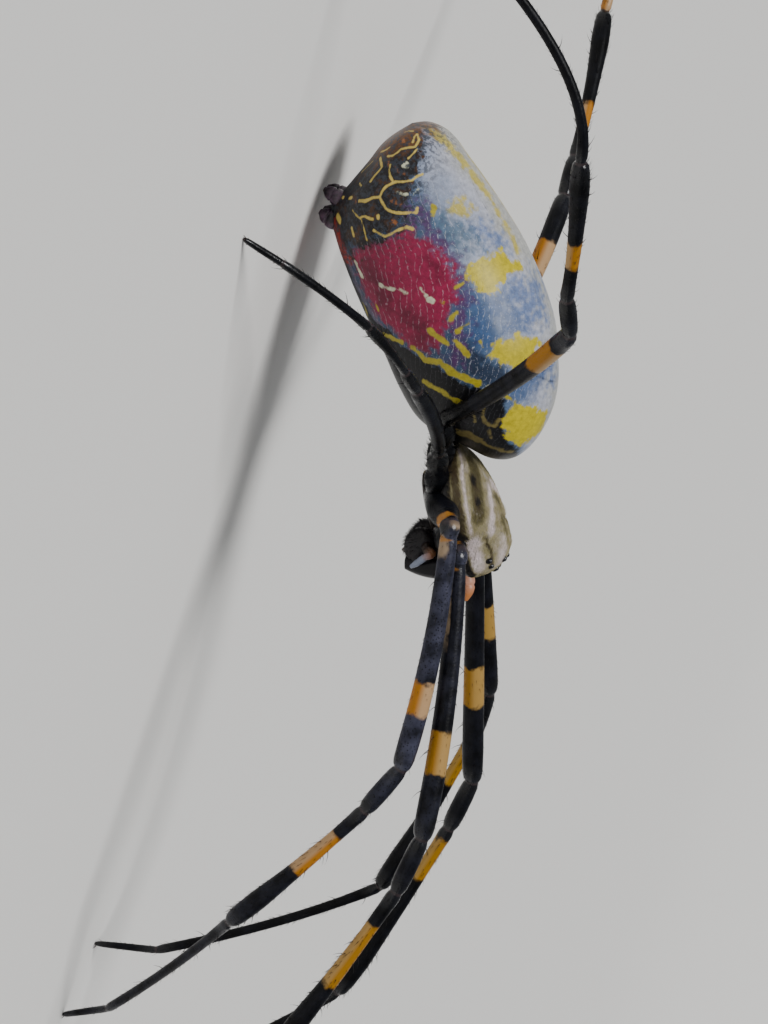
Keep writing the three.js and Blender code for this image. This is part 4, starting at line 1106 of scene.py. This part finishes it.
# hard cuticle with shallow dimples gives a broken, waxy shine
sternum_cuticle = patterned("sternum_cuticle", 0.4, (1.2, 4), ((0.4, "#a08746"), (0.62, "#2b2420")),
                            grain=(1.2, 4, 0.3, 0.05), field="out", drift=0.6)[0]
settle(sternum, sternum_cuticle, "sternum_cuticle", "sternum")

# The eyes: eight domes of clear lens cuticle over black, in two rows across the front of the
# head. Each stands on a low dark mound.
EYE_RADII = {"front_median": 0.17, "rear_median": 0.16, "front_lateral": 0.14, "rear_lateral": 0.14}
# a mound's size, and how far it lies behind and below the eye, in radii of the eye
MOUND_SIZE, MOUND_DEPTH = 1.3, 0.55
MOUND_WAY = Vector((0, -0.3, 1))


def ball(name, middle, radius, subdivisions):
    """A ball at a point, with its radius in metres."""
    mesh = bpy.data.meshes.new(name)
    work = bmesh.new()
    bmesh.ops.create_icosphere(work, subdivisions=subdivisions, radius=radius)
    bmesh.ops.translate(work, verts=work.verts, vec=middle)
    work.to_mesh(mesh)
    work.free()
    return set_out(name, mesh)


# a wet-looking lens mirrors the room, and a painted grey sheen lightens it towards its rim
eye_lens, tree, surface = finish_for("eye_lens", 0.05, ior=1.55, coat_weight=0.5)
# painted sheen: grey where the lens is seen edge on
shine = add(tree, "LayerWeight", {"Blend": 0.3})
black = add(tree, "Mix", {0: shine, 6: linear("#060507"), 7: linear("#2b2a33")}, data_type="RGBA")
tree.links.new(black, surface.inputs["Base Color"])
mounds = []
for eye, radius_mm in EYE_RADII.items():
    for side_name in ("left", "right"):
        low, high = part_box(f"eye_{eye}_{side_name}")
        middle = (low + high) / 2
        lens = ball(f"eye_{eye}_{side_name}_lens", middle, radius_mm * MM, 4)
        settle(lens, eye_lens, "eye_lens", f"eye_{eye}_{side_name}")
        below = middle - (prosoma_turn @ MOUND_WAY) * radius_mm * MM * MOUND_DEPTH
        mounds.append(ball("mound", below, radius_mm * MM * MOUND_SIZE, 3))
eye_mounds = joined("eye_mounds", mounds)

# The chelicerae: two stout barrels of thick glossy cuticle side by side below the eyes. Each
# carries at its far end a curved fang of dark horn, folded in against it.
# distance forward and up, half thickness
CHELICERA = [(5.9, -0.75, 0.44), (5.76, -1.29, 0.65), (5.62, -1.83, 0.7), (5.48, -2.37, 0.67),
             (5.34, -2.91, 0.55), (5.2, -3.45, 0.35)]
CHELICERA_OUT = 0.78
CHELICERA_RINGS, CHELICERA_SIDES = 40, 28
# how far its top and its bottom end draw in
CHELICERA_ENDS = 0.5, 0.45
# distance out, forward and up of a fang's base and tip, half thickness there, and sag between them
FANG_FROM, FANG_TO = (0.85, 4.62, -3.25), (0.3, 4.2, -2.75)
FANG_BASE, FANG_TIP, FANG_SAG = 0.24, 0.07, 0.072
FANG_RINGS, FANG_SIDES = 20, 16
# thick, smooth cuticle over a dark body gives a deep black with narrow bright lights
chelicera_cuticle = patterned("chelicera_cuticle", 0.26, (0.9, 3), ((0, "#030304"), (1, "#0d0b13")),
                              grain=(9, 2, 0.2, 0.03), ior=1.53, specular_ior_level=0.2)[0]
settle(eye_mounds, chelicera_cuticle, "chelicera_cuticle")
for side_name, face_side in (("left", 1), ("right", -1)):
    rows = []
    for step in range(CHELICERA_RINGS + 1):
        forward_mm, up, radius_mm = on_curve(CHELICERA, step / CHELICERA_RINGS)
        rows.append([body_point(CHELICERA_OUT, forward_mm, up, face_side), radius_mm * MM])
    rows[0][1] *= CHELICERA_ENDS[0]
    rows[-1][1] *= CHELICERA_ENDS[1]
    barrel = swept(f"chelicera_{side_name}_barrel", rows, CHELICERA_SIDES)
    settle(barrel, chelicera_cuticle, "chelicera_cuticle", f"chelicera_{side_name}")
    rows = []
    for step in range(FANG_RINGS + 1):
        t = step / FANG_RINGS
        out, forward_mm, up = (a + (b - a) * t for a, b in zip(FANG_FROM, FANG_TO))
        point = body_point(out, forward_mm, up - FANG_SAG * 4 * t * (1 - t), face_side)
        rows.append([point, (FANG_BASE + (FANG_TIP - FANG_BASE) * t ** 0.8) * MM])
    fang = swept(f"fang_{side_name}_tooth", rows, FANG_SIDES)
    settle(fang, claw_horn, "fang", f"fang_{side_name}")

# The palps: a pair of short feelers beside the mouth, jointed like small legs, pale orange with
# dark ends, each growing from the broad plate that closes the side of the mouth.
# the middle line of each, as distance out, forward and up
PALPS = {
    "right": [(0.95, 4.35, -2.1), (1.55, 4.6, -2.0), (1.95, 4.75, -1.7), (2.0, 4.85, -2.1),
              (1.95, 5.05, -2.5), (1.85, 5.25, -2.95)],
    "left": [(0.95, 4.35, -2.1), (1.6, 4.9, -1.9), (1.95, 5.8, -1.5), (2.0, 6.8, -1.2),
             (1.9, 7.6, -1.2), (1.75, 8.3, -1.45)],
}
PALP_RADII = {"right": [(0.24,), (0.27,), (0.23,), (0.19,), (0.18,), (0.17,), (0.09,)],
              "left": [(0.24,), (0.29,), (0.28,), (0.3,), (0.36,), (0.4,), (0.33,), (0.1,)]}
PALP_RINGS, PALP_SIDES = 70, 20
# the joints' shares of the length, how far the palp draws in at one and the reach of that along it
PALP_JOINTS, JOINT_DEPTH, JOINT_REACH = (0.2, 0.42, 0.58, 0.78), 0.15, 0.018
# a painted blue-grey highlight lies on the right palp's end, rising between these shares of its length
HIGHLIGHT_FROM, HIGHLIGHT_TO = 0.44, 0.64
# the middle of a mouth plate as distance out, forward and up, its half sizes, and where its colour
# lies on the palp's own run of colours
ENDITE_AT, ENDITE_SIZE, ENDITE_COLOUR = (0.8, 4.65, -2.4), (0.6, 1.1, 0.95), 0.05
ENDITE_RINGS, ENDITE_SIDES = 20, 20
BRUSH_HAIRS, BRUSH_LENGTHS, BRUSH_THICKNESS, BRUSH_ROOTED = 900, (0.14, 0.3), 0.013, 0.02
# thin, horny cuticle, dark at the root and paler along, has a low soft shine
palp_cuticle, tree, surface, colour = patterned(
    "palp_cuticle", 0.35, (1.5, 3),
    ((0.1, "#0d0a10"), (0.3, "#2e211a"), (0.48, "#6d4930"), (0.64, "#9c6c50"), (0.8, "#bd8a74"),
     (0.95, "#b2703f")),
    grain=(9, 2, 0.3, 0.04), field="reach", drift=0.12, specular_ior_level=0.3)
# the painted blue-grey highlight on the right palp's end
palp_highlight = add(tree, "Attribute", attribute_name="palp_highlight")
colour = add(tree, "Mix", {0: palp_highlight, 6: colour, 7: linear("#7d8496")}, data_type="RGBA")
tree.links.new(colour, surface.inputs["Base Color"])
for side_name, face_side in (("left", 1), ("right", -1)):
    rows = []
    for step in range(PALP_RINGS + 1):
        t = step / PALP_RINGS
        thickness = on_curve(PALP_RADII[side_name], t)[0]
        for joint_at in PALP_JOINTS:
            thickness *= 1 - JOINT_DEPTH * math.exp(-((t - joint_at) / JOINT_REACH) ** 2)
        rows.append([body_point(*on_curve(PALPS[side_name], t), face_side), thickness * MM])
    rows[-1][1] *= 0.5
    count = len(rows)

    def palp_values(i, upward):
        reach = i / count
        # painted highlight, on the right palp only
        grey = (reach - HIGHLIGHT_FROM) / (HIGHLIGHT_TO - HIGHLIGHT_FROM)
        return reach, max(0, min(1, grey)) * (face_side < 0)

    palp = swept(f"palp_{side_name}_skin", rows, PALP_SIDES, ("reach", "palp_highlight"), palp_values)
    settle(palp, palp_cuticle, "palp_cuticle", f"palp_{side_name}")

    def endite_place(share, across, upward):
        reach = math.sin(math.pi * share)
        out = ENDITE_AT[0] + ENDITE_SIZE[0] * across * reach
        forward_mm = ENDITE_AT[1] - ENDITE_SIZE[1] * math.cos(math.pi * share)
        up = ENDITE_AT[2] + ENDITE_SIZE[2] * upward * reach
        return body_point(out, forward_mm, up, face_side), ENDITE_COLOUR

    endite = shell(f"endite_{side_name}", ENDITE_RINGS, ENDITE_SIDES, endite_place, ("reach",))
    settle(endite, palp_cuticle, "palp_cuticle", f"palp_{side_name}")

    # a brush of fine dark hairs clothes the plate
    random.seed(f"brush_{side_name}")
    middle = body_point(*ENDITE_AT, face_side)
    hairs = []
    for _ in range(BRUSH_HAIRS):
        share, turn = random.uniform(0.06, 0.94), random.uniform(0, 2 * math.pi)
        root = endite_place(share, math.cos(turn), math.sin(turn))[0]
        outward = (root - middle).normalized()
        along = (prosoma_turn @ Vector((0, -1, -0.6))).cross(outward).cross(outward) * -1
        start = outward + along * random.uniform(0.2, 0.8)
        end = start + along * random.uniform(0.3, 1.0)
        length = random.uniform(*BRUSH_LENGTHS)
        hairs.append((root - outward * BRUSH_ROOTED * MM, start, end, length * MM,
                      BRUSH_THICKNESS * MM, spot_at(turn, share)))
    brush = coat(f"endite_brush_{side_name}", hairs)
    brush.data.materials.append(bristle)
    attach(brush, "root")

# The waist: a short narrow stalk of soft dark skin in shallow folds. It joins the head half to
# the abdomen.
PEDICEL_RADIUS = 0.42
# its ends, one on the head half and one on the abdomen, as distance out, forward and up
PEDICEL_FROM, PEDICEL_TO = (0, 0.4, -0.35), (0, 12.9, -1.9)
PEDICEL_RINGS, PEDICEL_SIDES = 24, 24
PEDICEL_FOLDS, PEDICEL_FOLD_DEPTH = 5, 0.12
pedicel_start = body_point(*PEDICEL_FROM)
pedicel_end = abdomen_frame @ Vector((PEDICEL_TO[0], -PEDICEL_TO[1], PEDICEL_TO[2]))
rows = []
for step in range(PEDICEL_RINGS + 1):
    t = step / PEDICEL_RINGS
    fold = PEDICEL_FOLD_DEPTH * math.sin(t * PEDICEL_FOLDS * math.pi) ** 2
    rows.append([pedicel_start.lerp(pedicel_end, t), PEDICEL_RADIUS * MM * (1 - fold)])
pedicel = swept("pedicel_stalk", rows, PEDICEL_SIDES)
# soft skin is dull and evenly dark
joint_skin = patterned("joint_skin", 0.45, (2.5, 3), ((0, "#241e1e"), (1, "#5a4a42")))[0]
settle(pedicel, joint_skin, "joint_cuticle", "pedicel")

# The spinnerets: two pairs of blunt dark cones close together under the rear end, of the same
# cuticle as the abdomen but darker and wrinkled. A groove runs round the middle of each.
# root and direction as distance out, forward and up, length, half thickness from root to tip
SPINNERETS = {
    "front": ((0.5, 1.85, -2.62), (-0.1, -0.72, -0.55), 1.05, (0.44, 0.48, 0.44, 0.36, 0.14)),
    "rear": ((0.45, 0.95, -1.95), (-0.1, -0.8, -0.6), 1.1, (0.4, 0.45, 0.4, 0.32, 0.12)),
}
CONE_RINGS, CONE_SIDES = 30, 24
# the groove's share of the length, depth and reach along
CONE_GROOVE_AT, CONE_GROOVE_DEPTH, CONE_GROOVE_REACH = 0.5, 0.14, 0.04
# wrinkled cuticle breaks its shine, and small violet grey lights are painted into its colour as
# highlights
spinneret_cuticle = patterned("spinneret_cuticle", 0.3, (2.2, 4), ((0.38, "#17111a"), (0.72, "#6a5266")),
                              grain=(2.2, 4, 0.5, 0.08))[0]
for pair_name, (root, lean, length_mm, radii) in SPINNERETS.items():
    for side_name, rear_side in (("left", 1), ("right", -1)):
        start = Vector((rear_side * root[0], -root[1], root[2]))
        run = Vector((rear_side * lean[0], -lean[1], lean[2])).normalized()
        rows = []
        for step in range(CONE_RINGS + 1):
            t = step / CONE_RINGS
            thickness = on_curve([(value,) for value in radii], t)[0]
            off_groove = (t - CONE_GROOVE_AT) / CONE_GROOVE_REACH
            thickness *= 1 - CONE_GROOVE_DEPTH * math.exp(-off_groove ** 2)
            rows.append([abdomen_frame @ (start + run * length_mm * t), thickness * MM])
        cone = swept(f"spinneret_{pair_name}_{side_name}_cone", rows, CONE_SIDES)
        settle(cone, spinneret_cuticle, "spinneret_cuticle", f"spinneret_{pair_name}_{side_name}")

# The floor: a wide sheet of matt pale studio paper, laid flat under the model. It curves up far
# from it on every side, so that no edge of it shows. All in metres.
HALF_WIDTH, FLOOR_CELLS = 2.6, 96
FLAT_REACH, CURVE_RATE = 1.2, 0.3
floor_mesh = bpy.data.meshes.new("floor")
work = bmesh.new()
bmesh.ops.create_grid(work, x_segments=FLOOR_CELLS, y_segments=FLOOR_CELLS, size=HALF_WIDTH)
for vertex in work.verts:
    vertex.co.z = CURVE_RATE * max(0, vertex.co.xy.length - FLAT_REACH) ** 2
work.to_mesh(floor_mesh)
work.free()
floor = set_out("floor", floor_mesh)
# uncoated paper has no shine, and takes soft shadows
paper = finish_for("studio_paper", 0.9, base_color=linear("#edebe7"))[0]
floor.data.materials.append(paper)

# The light: a broad soft lamp, like a large window, above, behind and to the right of the model.
# A pale room round it lifts the shadows.
LIGHT_FROM = Vector((-0.4, 0.5, 0.8))
LAMP_POWER, LAMP_WIDTH = 2.9, math.radians(26)
ROOM_COLOUR, ROOM_STRENGTH = "#dfe3e8", 0.32
world = bpy.data.worlds.new("room")
bpy.context.scene.world = world
world.use_nodes = True
room = world.node_tree.nodes["Background"]
room.inputs["Color"].default_value = linear(ROOM_COLOUR)
room.inputs["Strength"].default_value = ROOM_STRENGTH
lamp = bpy.data.lights.new("window", "SUN")
lamp.energy = LAMP_POWER
lamp.angle = LAMP_WIDTH
lamp_object = bpy.data.objects.new("window", lamp)
lamp_object.rotation_euler = LIGHT_FROM.to_track_quat("Z", "Y").to_euler()
bpy.context.collection.objects.link(lamp_object)
